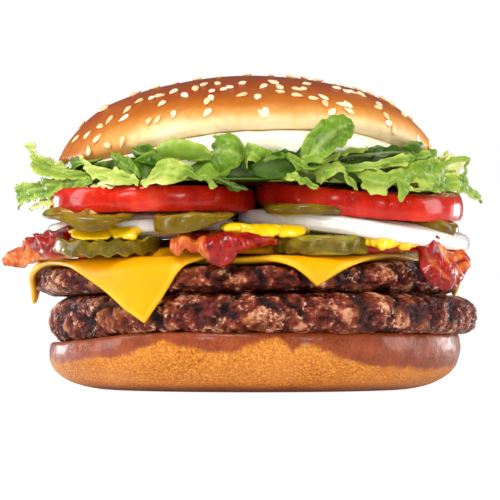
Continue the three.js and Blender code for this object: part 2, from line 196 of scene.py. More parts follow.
def sheet_faces(nu, nv):
    """Faces of a closed sheet made of a top grid, a bottom grid and one rim line of 2(nu+nv)-4 points."""
    def top(i, j):
        return i * nv + j
    off = nu * nv
    i, j = np.meshgrid(np.arange(nu - 1), np.arange(nv - 1), indexing="ij")
    a, b, c, d = top(i, j), top(i + 1, j), top(i + 1, j + 1), top(i, j + 1)
    up = np.stack([a, b, c, d], -1).reshape(-1, 4)
    down = np.stack([a + off, d + off, c + off, b + off], -1).reshape(-1, 4)
    edge = [top(k, 0) for k in range(nu)] + [top(nu - 1, k) for k in range(1, nv)]
    edge += [top(k, nv - 1) for k in range(nu - 2, -1, -1)] + [top(0, k) for k in range(nv - 2, 0, -1)]
    edge = np.array(edge)
    rim = 2 * off + np.arange(len(edge))
    e2, r2 = np.roll(edge, -1), np.roll(rim, -1)
    side = np.concatenate([np.stack([edge, rim, r2, e2], -1), np.stack([rim, edge + off, e2 + off, r2], -1)])
    return np.concatenate([up, down, side]), edge


def sheet_points(P, thick, bulge=0.35):
    """Vertices of a closed sheet about the mid surface P (nu, nv, 3): thick is a number or an (nu, nv) array."""
    nu, nv, _ = P.shape
    thick = np.broadcast_to(np.asarray(thick, float), (nu, nv))
    N = grid_normals(P)
    top = (P + N * thick[..., None] / 2).reshape(-1, 3)
    bot = (P - N * thick[..., None] / 2).reshape(-1, 3)
    faces, edge = sheet_faces(nu, nv)
    flat = P.reshape(-1, 3)
    e = flat[edge]
    t = np.roll(e, -1, 0) - np.roll(e, 1, 0)
    out = np.cross(t, N.reshape(-1, 3)[edge])
    out /= np.maximum(np.linalg.norm(out, axis=1, keepdims=True), 1e-9)
    return np.concatenate([top, bot, e + out * (thick.ravel()[edge] * bulge)[:, None]]), faces, edge


def sheet(name, P, thick, material, attrs=None, bulge=0.35, **kw):
    V, faces, edge = sheet_points(P, thick, bulge)
    at = {k: np.concatenate([a.ravel(), a.ravel(), a.ravel()[edge]]) for k, a in (attrs or {}).items()}
    return build(name, V, faces, None, material, at, **kw)


class Heap:
    """Many small solids collected into one mesh."""

    def __init__(self):
        self.V, self.Q, self.T, self.A, self.n = [], [], [], {}, 0

    def add(self, V, quads=None, tris=None, **attrs):
        self.V.append(V)
        if quads is not None and len(quads):
            self.Q.append(np.asarray(quads) + self.n)
        if tris is not None and len(tris):
            self.T.append(np.asarray(tris) + self.n)
        for k, a in attrs.items():
            self.A.setdefault(k, []).append(np.broadcast_to(np.asarray(a, float), (len(V),)))
        self.n += len(V)

    def make(self, name, material, **kw):
        return build(name, np.concatenate(self.V), np.concatenate(self.Q) if self.Q else None,
                     np.concatenate(self.T) if self.T else None, material,
                     {k: np.concatenate(a) for k, a in self.A.items()}, **kw)


# ------------------------------------------------------------------ materials
def lin(r, g, b):
    return tuple((c / 255 / 12.92 if c / 255 <= 0.04045 else ((c / 255 + 0.055) / 1.055) ** 2.4) for c in (r, g, b)) + (1.0,)


class Nodes:
    def __init__(self, name, **shader):
        self.m = bpy.data.materials.new(name)
        self.m.use_nodes = True
        self.t = self.m.node_tree
        self.b = self.t.nodes["Principled BSDF"]
        for k, v in shader.items():
            self.b.inputs[k.replace("_", " ")].default_value = v
        self.obj = self.t.nodes.new("ShaderNodeTexCoord").outputs["Object"]

    def link(self, a, b):
        self.t.links.new(a, b)

    def stretch(self, x, y, z):
        n = self.t.nodes.new("ShaderNodeMapping")
        n.inputs["Scale"].default_value = (x, y, z)
        self.link(self.obj, n.inputs["Vector"])
        return n.outputs["Vector"]

    def noise(self, size_mm, detail=3.0, rough=0.55, coord=None, distortion=0.0):
        n = self.t.nodes.new("ShaderNodeTexNoise")
        n.inputs["Scale"].default_value = 1000.0 / size_mm
        n.inputs["Detail"].default_value = detail
        n.inputs["Roughness"].default_value = rough
        n.inputs["Distortion"].default_value = distortion
        self.link(coord or self.obj, n.inputs["Vector"])
        return n.outputs["Fac"]

    def cells(self, size_mm, coord=None, feature="F1", randomness=1.0):
        n = self.t.nodes.new("ShaderNodeTexVoronoi")
        n.feature = feature
        n.inputs["Scale"].default_value = 1000.0 / size_mm
        n.inputs["Randomness"].default_value = randomness
        self.link(coord or self.obj, n.inputs["Vector"])
        return n.outputs["Distance"]

    def attr(self, name):
        n = self.t.nodes.new("ShaderNodeAttribute")
        n.attribute_name = name
        return n.outputs["Fac"]

    def ramp(self, fac, stops, smooth_steps=False):
        n = self.t.nodes.new("ShaderNodeValToRGB")
        e = n.color_ramp.elements
        while len(e) < len(stops):
            e.new(0.5)
        for k, (pos, col) in enumerate(stops):
            e[k].position = pos
            e[k].color = col if isinstance(col, tuple) else (col, col, col, 1)
        if smooth_steps:
            n.color_ramp.interpolation = "EASE"
        self.link(fac, n.inputs["Fac"])
        return n.outputs["Color"]

    def math(self, op, a, b=None, c=None, clamp=False):
        n = self.t.nodes.new("ShaderNodeMath")
        n.operation = op
        n.use_clamp = clamp
        for k, v in enumerate((a, b, c)):
            if v is None:
                continue
            if isinstance(v, (int, float)):
                n.inputs[k].default_value = v
            else:
                self.link(v, n.inputs[k])
        return n.outputs[0]

    def mix(self, fac, a, b, mode="MIX"):
        n = self.t.nodes.new("ShaderNodeMix")
        n.data_type = "RGBA"
        n.blend_type = mode
        for sock, v in ((n.inputs[0], fac), (n.inputs[6], a), (n.inputs[7], b)):
            if isinstance(v, (int, float)):
                sock.default_value = v
            elif isinstance(v, tuple):
                sock.default_value = v
            else:
                self.link(v, sock)
        return n.outputs[2]

    def bump(self, height, strength, distance_mm, normal=None):
        n = self.t.nodes.new("ShaderNodeBump")
        n.inputs["Strength"].default_value = strength
        n.inputs["Distance"].default_value = distance_mm * MM
        self.link(height, n.inputs["Height"])
        if normal is not None:
            self.link(normal, n.inputs["Normal"])
        return n.outputs["Normal"]

    def to(self, socket, value):
        self.link(value, self.b.inputs[socket])
        return self


def crust_material():
    n = Nodes("bun_crust", Specular_IOR_Level=0.16, Coat_Weight=0.08, Coat_Roughness=0.30)
    bake = n.attr("bake")
    wide = n.noise(16, 3)
    fine = n.noise(2.2, 4, 0.6)
    t = n.math("ADD", bake, n.math("MULTIPLY", n.math("SUBTRACT", wide, 0.5), 0.20))
    t = n.math("ADD", t, n.math("MULTIPLY", n.math("SUBTRACT", fine, 0.5), 0.13), clamp=True)
    col = n.ramp(t, [(0.0, lin(252, 238, 204)), (0.14, lin(247, 218, 164)), (0.34, lin(222, 158, 80)), (0.55, lin(188, 106, 30)),
                     (0.76, lin(158, 68, 16)), (1.0, lin(122, 44, 9))])
    mott = n.noise(5.5, 4, 0.6, distortion=0.6)
    col = n.mix(n.math("MULTIPLY", n.ramp(mott, [(0.50, 0.0), (0.72, 1.0)]), 0.22), col, lin(160, 78, 26))
    pores = n.ramp(n.cells(2.6), [(0.0, 1.0), (0.10, 0.0)])
    col = n.mix(n.math("MULTIPLY", pores, 0.30), col, lin(140, 72, 28))
    n.to("Base Color", col)
    n.to("Roughness", n.ramp(n.math("ADD", t, n.math("MULTIPLY", fine, 0.2)), [(0.1, 0.62), (0.9, 0.36)]))
    nb = n.bump(n.noise(1.1, 4, 0.65), 0.16, 0.25)
    nb = n.bump(n.noise(7, 3), 0.22, 0.6, nb)
    n.to("Normal", nb)
    return n.m


def heel_material():
    n = Nodes("bun_heel", Specular_IOR_Level=0.16, Coat_Weight=0.34, Coat_Roughness=0.18)
    band = n.attr("band")
    wide = n.noise(14, 3)
    grain = n.noise(0.62, 4, 0.75)
    low = n.ramp(grain, [(0.32, lin(118, 58, 6)), (0.45, lin(184, 102, 18)), (0.56, lin(210, 130, 30)), (0.70, lin(244, 186, 84))])
    low = n.mix(n.ramp(wide, [(0.35, 0.0), (0.75, 0.45)]), low, lin(226, 150, 66))
    dots = n.ramp(n.cells(1.25), [(0.07, 1.0), (0.22, 0.0)])
    low = n.mix(n.math("MULTIPLY", dots, 0.55), low, lin(118, 58, 20))
    low = n.mix(n.attr("foot"), low, lin(166, 78, 20))
    up = n.ramp(n.noise(5, 4, 0.6), [(0.3, lin(104, 34, 8)), (0.52, lin(132, 48, 13)), (0.75, lin(158, 70, 27))])
    up = n.mix(n.math("MULTIPLY", n.ramp(grain, [(0.35, 0.0), (0.75, 1.0)]), 0.30), up, lin(206, 120, 66))
    col = n.mix(band, low, up)
    n.to("Base Color", col)
    streak = n.noise(1.3, 3, 0.6, n.stretch(1, 1, 0.16))
    rough = n.mix(band, n.ramp(grain, [(0.3, 0.70), (0.7, 0.46)]), n.ramp(streak, [(0.35, 0.24), (0.65, 0.50)]))
    n.to("Roughness", rough)
    nb = n.bump(grain, 0.65, 0.30)
    nb = n.bump(dots, 0.35, -0.35, nb)
    nb = n.bump(streak, 0.20, 0.5, nb)
    n.to("Normal", nb)
    return n.m


def beef_material():
    n = Nodes("beef", Specular_IOR_Level=0.16, Coat_Weight=0.24, Coat_Roughness=0.09)
    hi = n.attr("height")
    char = n.attr("char")
    small = n.noise(1.2, 5, 0.7)
    mid = n.noise(4.5, 4, 0.6, distortion=0.5)
    # Colour follows the height attribute: near black in the hollows is painted shade, and the pale pink of the highest
    # spots is painted highlight.
    t = n.math("ADD", n.math("MULTIPLY", hi, 0.66), n.math("MULTIPLY", small, 0.50), clamp=True)
    col = n.ramp(t, [(0.32, lin(28, 5, 3)), (0.46, lin(76, 18, 10)), (0.60, lin(112, 34, 18)), (0.76, lin(152, 68, 36)), (0.92, lin(236, 168, 122))])
    red = n.ramp(mid, [(0.44, 0.0), (0.66, 1.0)])
    col = n.mix(n.math("MULTIPLY", red, 0.55), col, lin(108, 28, 12))
    tan = n.ramp(n.noise(9.0, 3, 0.5), [(0.56, 0.0), (0.68, 1.0)])
    col = n.mix(n.math("MULTIPLY", tan, n.math("MULTIPLY", hi, 0.9)), col, lin(172, 98, 34))
    # The char attribute holds the grill marks and also painted shade on the underside and lower edge of each patty.
    col = n.mix(n.math("MULTIPLY", char, 0.85), col, lin(18, 6, 4))
    # Small pale spots on the high parts are painted glints.
    fleck = n.math("MULTIPLY", n.ramp(n.noise(1.0, 3, 0.6), [(0.55, 0.0), (0.61, 1.0)]), n.ramp(n.noise(5.0, 3, 0.6), [(0.46, 0.0), (0.56, 1.0)]))
    fleck = n.math("MULTIPLY", fleck, n.ramp(hi, [(0.40, 0.0), (0.58, 0.85)]))
    col = n.mix(fleck, col, lin(248, 196, 166))
    n.to("Base Color", col)
    wet = n.ramp(n.noise(2.0, 4, 0.6), [(0.40, 0.14), (0.62, 0.55)])
    n.to("Roughness", wet)
    nb = n.bump(small, 0.85, 0.8)
    nb = n.bump(n.noise(0.8, 4, 0.7), 0.9, 0.45, nb)
    n.to("Normal", nb)
    n.to("Coat Normal", nb)
    return n.m


def cheese_material():
    n = Nodes("cheese", Specular_IOR_Level=0.22, Roughness=0.36, Subsurface_Weight=0.15, Subsurface_Scale=0.003)
    n.b.inputs["Subsurface Radius"].default_value = (1.0, 0.6, 0.15)
    t = n.noise(17, 3)
    col = n.ramp(t, [(0.3, lin(240, 154, 0)), (0.55, lin(247, 168, 0)), (0.8, lin(251, 182, 1))])
    col = n.mix(n.math("MULTIPLY", n.attr("thin"), 0.5), col, lin(252, 200, 40))
    n.to("Base Color", col)
    nb = n.bump(n.noise(9, 3), 0.12, 0.5)
    nb = n.bump(n.noise(0.9, 3), 0.05, 0.15, nb)
    n.to("Normal", nb)
    return n.m


def pickle_material():
    n = Nodes("pickle", Specular_IOR_Level=0.22, Coat_Weight=0.14, Coat_Roughness=0.10, Subsurface_Weight=0.10, Subsurface_Scale=0.002)
    n.b.inputs["Subsurface Radius"].default_value = (0.6, 0.6, 0.2)
    skin = n.attr("skin")
    t = n.noise(3.0, 4, 0.6)
    flesh = n.ramp(t, [(0.3, lin(120, 110, 16)), (0.6, lin(160, 144, 28)), (0.8, lin(190, 174, 50))])
    flesh = n.mix(n.attr("seed"), flesh, lin(206, 190, 120))
    rind = n.ramp(t, [(0.30, lin(54, 42, 8)), (0.52, lin(98, 76, 12)), (0.75, lin(140, 110, 24))])
    n.to("Base Color", n.mix(skin, flesh, rind))
    n.to("Roughness", n.ramp(n.noise(1.6, 3), [(0.35, 0.16), (0.65, 0.34)]))
    n.to("Normal", n.bump(n.noise(1.1, 4, 0.6), 0.35, 0.35))
    return n.m


def jalapeno_material():
    n = Nodes("jalapeno", Specular_IOR_Level=0.22, Coat_Weight=0.14, Coat_Roughness=0.12, Subsurface_Weight=0.08, Subsurface_Scale=0.002)
    n.b.inputs["Subsurface Radius"].default_value = (0.6, 0.6, 0.2)
    t = n.noise(6.0, 3, 0.5)
    skin = n.ramp(t, [(0.3, lin(84, 62, 4)), (0.55, lin(118, 92, 8)), (0.8, lin(150, 122, 18))])
    flesh = n.ramp(n.noise(3, 3), [(0.3, lin(122, 98, 18)), (0.7, lin(164, 136, 40))])
    col = n.mix(n.attr("flesh"), skin, flesh)
    col = n.mix(n.attr("seed"), col, lin(224, 204, 140))
    n.to("Base Color", col)
    n.to("Roughness", n.ramp(n.noise(2.0, 2), [(0.35, 0.18), (0.65, 0.36)]))
    n.to("Normal", n.bump(n.noise(2.4, 4), 0.2, 0.35))
    return n.m


def bacon_material():
    n = Nodes("bacon", Specular_IOR_Level=0.25, Coat_Weight=0.28, Coat_Roughness=0.08, Subsurface_Weight=0.02, Subsurface_Scale=0.0015)
    n.b.inputs["Subsurface Radius"].default_value = (1.0, 0.3, 0.15)
    fat = n.attr("fat")
    t = n.noise(2.6, 4, 0.6)
    meat = n.ramp(t, [(0.28, lin(80, 5, 3)), (0.5, lin(146, 12, 5)), (0.72, lin(182, 38, 13))])
    fatc = n.ramp(n.noise(3.2, 3), [(0.30, lin(174, 52, 10)), (0.52, lin(204, 98, 32)), (0.76, lin(232, 176, 110))])
    col = n.mix(n.ramp(fat, [(0.35, 0.0), (0.65, 1.0)]), meat, fatc)
    col = n.mix(n.math("MULTIPLY", n.ramp(n.noise(6.5, 3), [(0.62, 0.0), (0.74, 1.0)]), 0.55), col, lin(92, 14, 10))
    n.to("Base Color", col)
    n.to("Roughness", n.ramp(n.noise(1.7, 3), [(0.35, 0.12), (0.68, 0.38)]))
    n.to("Normal", n.bump(n.noise(1.3, 4, 0.6), 0.35, 0.45))
    return n.m


def onion_material():
    n = Nodes("onion", Specular_IOR_Level=0.5, Roughness=0.16, Coat_Weight=0.3, Coat_Roughness=0.08, Subsurface_Weight=0.6, Subsurface_Scale=0.006)
    n.b.inputs["Subsurface Radius"].default_value = (1.0, 0.85, 0.75)
    line = n.noise(1.2, 3, 0.5, n.stretch(1, 1, 0.12))
    col = n.ramp(line, [(0.3, lin(244, 234, 216)), (0.55, lin(250, 246, 236)), (0.8, lin(254, 252, 248))])
    col = n.mix(n.math("MULTIPLY", n.attr("groove"), 0.6), col, lin(196, 178, 160))
    col = n.mix(n.math("MULTIPLY", n.attr("blush"), 0.22), col, lin(236, 196, 196))
    n.to("Base Color", col)
    n.to("Normal", n.bump(line, 0.08, 0.3))
    return n.m


def tomato_material():
    n = Nodes("tomato", Specular_IOR_Level=0.22, Coat_Weight=0.22, Coat_Roughness=0.10, Subsurface_Weight=0.12, Subsurface_Scale=0.003)
    n.b.inputs["Subsurface Radius"].default_value = (1.0, 0.25, 0.12)
    skin = n.attr("skin")
    streak = n.noise(2.4, 3, 0.6, n.stretch(1, 1, 0.3))
    rind = n.ramp(n.noise(9, 3), [(0.3, lin(178, 20, 5)), (0.55, lin(204, 32, 10)), (0.8, lin(220, 56, 22))])
    rind = n.mix(n.math("MULTIPLY", n.ramp(streak, [(0.5, 0.0), (0.8, 1.0)]), 0.28), rind, lin(236, 98, 62))
    dots = n.ramp(n.cells(1.7), [(0.04, 1.0), (0.13, 0.0)])
    rind = n.mix(n.math("MULTIPLY", dots, 0.40), rind, lin(244, 130, 90))
    flesh = n.ramp(n.noise(4, 4), [(0.3, lin(196, 42, 24)), (0.7, lin(226, 92, 60))])
    flesh = n.mix(n.attr("gel"), flesh, lin(202, 74, 22))
    flesh = n.mix(n.attr("seed"), flesh, lin(230, 200, 120))
    n.to("Base Color", n.mix(skin, flesh, rind))
    n.to("Roughness", n.ramp(n.noise(1.8, 3), [(0.4, 0.16), (0.7, 0.32)]))
    nb = n.bump(dots, 0.25, 0.25)
    nb = n.bump(n.noise(3.5, 3), 0.14, 0.4, nb)
    n.to("Normal", nb)
    return n.m


def lettuce_material(name="lettuce", dark=0.0):
    n = Nodes(name, Specular_IOR_Level=0.20, Roughness=0.32, Coat_Weight=0.10, Coat_Roughness=0.15, Subsurface_Weight=0.15, Subsurface_Scale=0.0015)
    n.b.inputs["Subsurface Radius"].default_value = (0.7, 1.0, 0.25)
    tint = n.attr("tint")
    t = n.math("ADD", tint, n.math("MULTIPLY", n.math("SUBTRACT", n.noise(7, 4, 0.6), 0.5), 0.5), clamp=True)
    col = n.ramp(t, [(0.0, lin(224, 222, 156)), (0.20, lin(182, 196, 88)), (0.42, lin(112, 146, 32)), (0.66, lin(68, 102, 14)), (1.0, lin(24, 50, 8))])
    vein = n.attr("vein")
    col = n.mix(n.math("MULTIPLY", vein, 0.45), col, lin(196, 210, 120))
    # dark mixes the colour towards near-black green: painted shade, used for the core of the heap.
    if dark:
        col = n.mix(dark, col, lin(24, 40, 10))
    n.to("Base Color", col)
    nb = n.bump(n.noise(2.0, 4, 0.6), 0.35, 0.45)
    nb = n.bump(vein, 0.3, 0.35, nb)
    n.to("Normal", nb)
    return n.m


def mayo_material():
    n = Nodes("mayonnaise", Specular_IOR_Level=0.5, Roughness=0.22, Coat_Weight=0.3, Coat_Roughness=0.1, Subsurface_Weight=0.35, Subsurface_Scale=0.003)
    n.b.inputs["Subsurface Radius"].default_value = (1.0, 0.9, 0.6)
    n.to("Base Color", n.ramp(n.noise(7, 3), [(0.3, lin(240, 230, 198)), (0.7, lin(248, 244, 226))]))
    n.to("Normal", n.bump(n.noise(4, 3), 0.15, 0.4))
    return n.m


def mustard_material():
    n = Nodes("mustard", Specular_IOR_Level=0.5, Roughness=0.18, Coat_Weight=0.3, Coat_Roughness=0.08, Subsurface_Weight=0.15, Subsurface_Scale=0.002)
    n.b.inputs["Subsurface Radius"].default_value = (1.0, 0.7, 0.1)
    col = n.ramp(n.noise(5, 3), [(0.3, lin(240, 182, 2)), (0.7, lin(252, 214, 14))])
    col = n.mix(n.math("MULTIPLY", n.ramp(n.cells(1.3), [(0.02, 1.0), (0.12, 0.0)]), 0.4), col, lin(180, 112, 8))
    n.to("Base Color", col)
    n.to("Normal", n.bump(n.noise(3, 3), 0.12, 0.3))
    return n.m


def sesame_material():
    n = Nodes("sesame", Specular_IOR_Level=0.45, Roughness=0.42, Coat_Weight=0.15, Coat_Roughness=0.25, Subsurface_Weight=0.15, Subsurface_Scale=0.001)
    tone = n.attr("tone")
    col = n.ramp(tone, [(0.0, lin(214, 172, 110)), (0.5, lin(236, 208, 156)), (1.0, lin(250, 234, 202))])
    col = n.mix(n.math("MULTIPLY", n.attr("tip"), 0.5), col, lin(176, 116, 60))
    n.to("Base Color", col)
    n.to("Normal", n.bump(n.noise(0.5, 3), 0.2, 0.12))
    return n.m


CRUST, HEEL, BEEF, CHEESE = crust_material(), heel_material(), beef_material(), cheese_material()
PICKLE, JALAPENO, BACON, ONION = pickle_material(), jalapeno_material(), bacon_material(), onion_material()
# The core's lettuce is darkened as painted shade.
TOMATO, LETTUCE, CORE = tomato_material(), lettuce_material(), lettuce_material("lettuce_core_painted_shade", 0.86)
MAYO, MUSTARD, SESAME = mayo_material(), mustard_material(), sesame_material()

# ------------------------------------------------------------------ layers
EDGE_POWER = 2.4


def layer_rings(cx, cy, radius, z_low, z_high, edge, n, inner=10, rim=40, power=EDGE_POWER):
    """Rings of a round layer between two height functions, with a rounded edge; returns points, and 0 at the underside to 1 on top."""
    f_in = np.linspace(0.12, 1, inner, endpoint=False) ** 0.8
    a = np.linspace(-math.pi / 2, math.pi / 2, rim)
    c, s = np.abs(np.cos(a)) ** (2 / power), np.sign(np.sin(a)) * np.abs(np.sin(a)) ** (2 / power)
    f = np.concatenate([f_in, 1 + c, f_in[::-1]])
    h = np.concatenate([0 * f_in, 0.5 + 0.5 * s, 0 * f_in + 1])
    th = np.arange(n) / n * TAU
    R0 = radius(th)
    r = np.where(f[:, None] <= 1, f[:, None] * (R0 - edge), R0 - edge + (f[:, None] - 1) * edge)
    x, y = cx + r * np.cos(th), cy + r * np.sin(th)
    lo, hi = z_low(x, y), z_high(x, y)
    z = lo + (hi - lo) * h[:, None]
    return np.stack([x, y, z], -1), np.broadcast_to(h[:, None], z.shape), np.broadcast_to(th, z.shape)


def wobble(th, seed):
    return 0.5 * np.cos(2 * th + seed * 1.7) + 0.3 * np.cos(3 * th + seed * 2.9) + 0.2 * np.cos(5 * th + seed * 4.1)


# ---- bottom bun
lo, hi = box("bottom_bun")
HEEL_R, HEEL_H = 55.2, hi[2]


def heel_top(x):
    return HEEL_H - 2.4 * smooth(22, 55, -x)


prof = catmull([(35, 0), (40, 0.22), (44, 0.75), (48, 1.9), (51.2, 3.7), (53.6, 6.2), (54.9, 9.0), (55.2, 11.8), (54.9, 14.2), (54.0, HEEL_H), (52, HEEL_H)], 96)
prof = np.concatenate([[(r, 0.0) for r in (6, 14, 22, 30)], prof, [(r, HEEL_H) for r in (44, 32, 18, 6)]])
n = 420
th = np.arange(n) / n * TAU
k = 1 + np.where(prof[:, :1] > 40, 0.006 * wobble(th, 3), 0)
x, y = prof[:, :1] * k * np.cos(th), prof[:, :1] * k * np.sin(th)
R = np.stack([x, y, prof[:, 1:] * heel_top(x) / HEEL_H], -1)
N = ring_normals(R)
side = smooth(0.6, 3.0, R[..., 2])
R = R + N * (side * (0.22 * fbm(R, 11, 3, 1) + 0.05 * fbm(R, 1.6, 3, 2) + 0.10 * fbm(R * [1, 1, 0.25], 3.2, 2, 5)))[..., None]
# the smooth reddish crust band along the top, with its wavy lower edge
az = np.degrees(np.arctan2(R[..., 0], -R[..., 1]))
marks = np.array([[-180, 9.6], [-150, 10.8], [-120, 8.6], [-95, 9.2], [-66, 7.5], [-44, 8.6], [-38, 9.0], [-26, 12.6], [-20, 12.0], [-10, 9.6], [-2, 11.4], [5.5, 14.4],
                  [9.4, 10.2], [12.6, 12.8], [17.6, 10.8], [23, 8.6], [30, 7.5], [40, 6.4], [47, 5.9], [60, 5.4], [78, 6.6], [100, 9.0], [130, 7.4], [155, 10.4], [180, 9.6]])
cut = np.interp(az, marks[:, 0], marks[:, 1])
band = smooth(-0.75, 0.75, R[..., 2] - cut + 0.8 * fbm(R, 4, 3, 9))
foot = 0.8 * smooth(2.2, 0.2, R[..., 2] + 0.8 * noise(R, 7, 4))
R = R - N * (band * 0.10)[..., None]
wheel("bottom_bun_baked", R, HEEL, {"band": band, "foot": foot}, slot="bun_heel", stands_for=["bottom_bun"])

# ---- patties
llo, lhi = box("patty_lower")
ulo, uhi = box("patty_upper")
LC, UC = (llo + lhi) / 2, (ulo + uhi) / 2
LOWER_R, UPPER_R = (lhi[1] - llo[1]) / 2, (uhi[1] - ulo[1]) / 2
UPPER_BOTTOM, UPPER_TOP, UPPER_EDGE = ulo[2], 33.2, 4.0
UX = UC[0] - 0.2


def lower_r(th):
    return LOWER_R * (1 + 0.008 * wobble(th, 1.3))


def upper_r(th):
    return UPPER_R * (1 + 0.008 * wobble(th, 4.4))


def bell(x, y, cx, cy, s):
    return np.exp(-((x - cx) ** 2 + (y - cy) ** 2) / (2 * s * s))


def upper_top(x, y):
    return UPPER_TOP - 1.7 * smooth(22, 54, np.hypot(x - UX, y)) + 2.4 * bell(x, y, 43, -34, 10) + 0.8 * bell(x, y, -50, -12, 12)


def patty(name, cx, cy, radius, zb, zt, edge, seed, stands_for, grooves, gap_below):
    R, h, th = layer_rings(cx, cy, radius, zb, zt, edge, 820, inner=5, rim=56)
    N = ring_normals(R)
    out = smooth(0, 1, (np.hypot(R[..., 0] - cx, R[..., 1] - cy) - (radius(th) - edge - 2)) / 2)
    W = R + 1.4 * np.stack([noise(R, 5, seed + 5), noise(R, 5, seed + 6), noise(R, 5, seed + 7)], -1)
    big = lumps(W * [1, 1, 1.25], 7.0, seed)
    mid = lumps(W, 3.3, seed + 1)
    small = lumps(W, 1.7, seed + 2)
    fine = noise(R, 0.9, seed + 3)
    broad = noise(R, 15, seed + 4)
    azd = np.degrees(np.arctan2(R[..., 0] - cx, -(R[..., 1] - cy)))
    rnd = np.random.RandomState(seed)
    marks = list(grooves) + [(g, rnd.uniform(-1.2, 1.2), rnd.uniform(0.9, 1.9)) for g in np.arange(62, 300, 17) + rnd.uniform(-5, 5, 14)]
    char = np.zeros_like(azd)
    for at, slant, width in marks:
        d = (azd - at + 180) % 360 - 180
        d = d * LOWER_R * math.pi / 180 - slant * (R[..., 2] - (zb(R[..., 0], R[..., 1]) + zt(R[..., 0], R[..., 1])) / 2) + 1.3 * noise(R, 4, seed + 9)
        char = np.maximum(char, gauss(d, width))
    char = char * smooth(0.05, 0.5, h + 0.3 * noise(R, 8, seed + 3))
    crag = fbm(R, 5.5, 5, seed + 11, 0.62)
    crumb = fbm(R + 31, 1.6, 3, seed + 12, 0.6)
    d = 0.55 * (big - 0.5) + 0.35 * (mid - 0.45) + 0.28 * (small - 0.5) + 1.25 * crag + 0.34 * crumb + 0.14 * fine + 0.6 * broad - 1.15 * char
    # height also colours the beef: its low spots become painted shade and its highest spots painted highlight.
    height = 0.47 + 0.20 * (big - 0.5) + 0.30 * (mid - 0.45) + 0.26 * (small - 0.5) + 0.50 * crag + 0.34 * crumb + 0.10 * fine + 0.10 * broad - 0.22 * char
    d = np.clip(d, -1.9, 1.25)
    flat = np.abs(N[..., 2])
    R = R + N * (d * (0.10 + 0.90 * out) * (1 - 0.70 * flat))[..., None]
    # the two rims draw apart where the patties meet
    rim = smooth(radius(th) - 7, radius(th) - 1, np.hypot(R[..., 0] - cx, R[..., 1] - cy))
    R[..., 2] += rim * (smooth(0.5, 0.0, h) * 0.9 if gap_below else -smooth(0.5, 1.0, h) * 0.9)
    # Darker on the underside and lower edge, a little on top: painted shade, carried with the grill marks in the char
    # attribute.
    low = smooth(0.25, 0.0, h) * 0.45 + smooth(0.80, 1.0, h) * 0.15
    wheel(name, R, BEEF, {"height": np.clip(height, 0, 1), "char": np.clip(char + low, 0, 1)}, slot="beef", stands_for=[stands_for])


patty("patty_lower_grilled", LC[0], 0, lower_r, lambda x, y: heel_top(x) - 0.1, lambda x, y: lhi[2] + 0.25 + 0 * x, 5.0, 21, "patty_lower",
      [(-50, 0.6, 1.2), (-29, -0.5, 1.5), (-11, 0.7, 1.1), (3, -0.9, 1.9), (8, -0.9, 1.2), (25, -0.35, 1.7), (33, 0.5, 1.1), (48, -0.3, 1.3)], False)
patty("patty_upper_grilled", UX, 0, upper_r, lambda x, y: UPPER_BOTTOM - 0.1 + 0 * x, upper_top, UPPER_EDGE, 42, "patty_upper",
      [(-62, 0.5, 1.2), (-40, -0.6, 1.3), (-20, 0.6, 1.0), (-6, 0.9, 1.4), (4, -0.4, 1.0), (27, -0.2, 2.0), (31, 0.4, 1.0), (44, -0.5, 1.4)], True)

# ---- cheese
GAP, CHEESE_T, SIDE = 0.3, 1.8, 83
LIFT = CHEESE_T + GAP + 0.45


def place(s, u, v):
    c, d = math.cos(math.radians(s[2] + 45)), math.sin(math.radians(s[2] + 45))
    return s[0] + c * u - d * v, s[1] + d * u + c * v


def inside(s, x, y):
    c, d = math.cos(math.radians(s[2] + 45)), math.sin(math.radians(s[2] + 45))
    u, v = c * (x - s[0]) + d * (y - s[1]), -d * (x - s[0]) + c * (y - s[1])
    return np.maximum(np.abs(u), np.abs(v)) - SIDE / 2


SKEW = 1


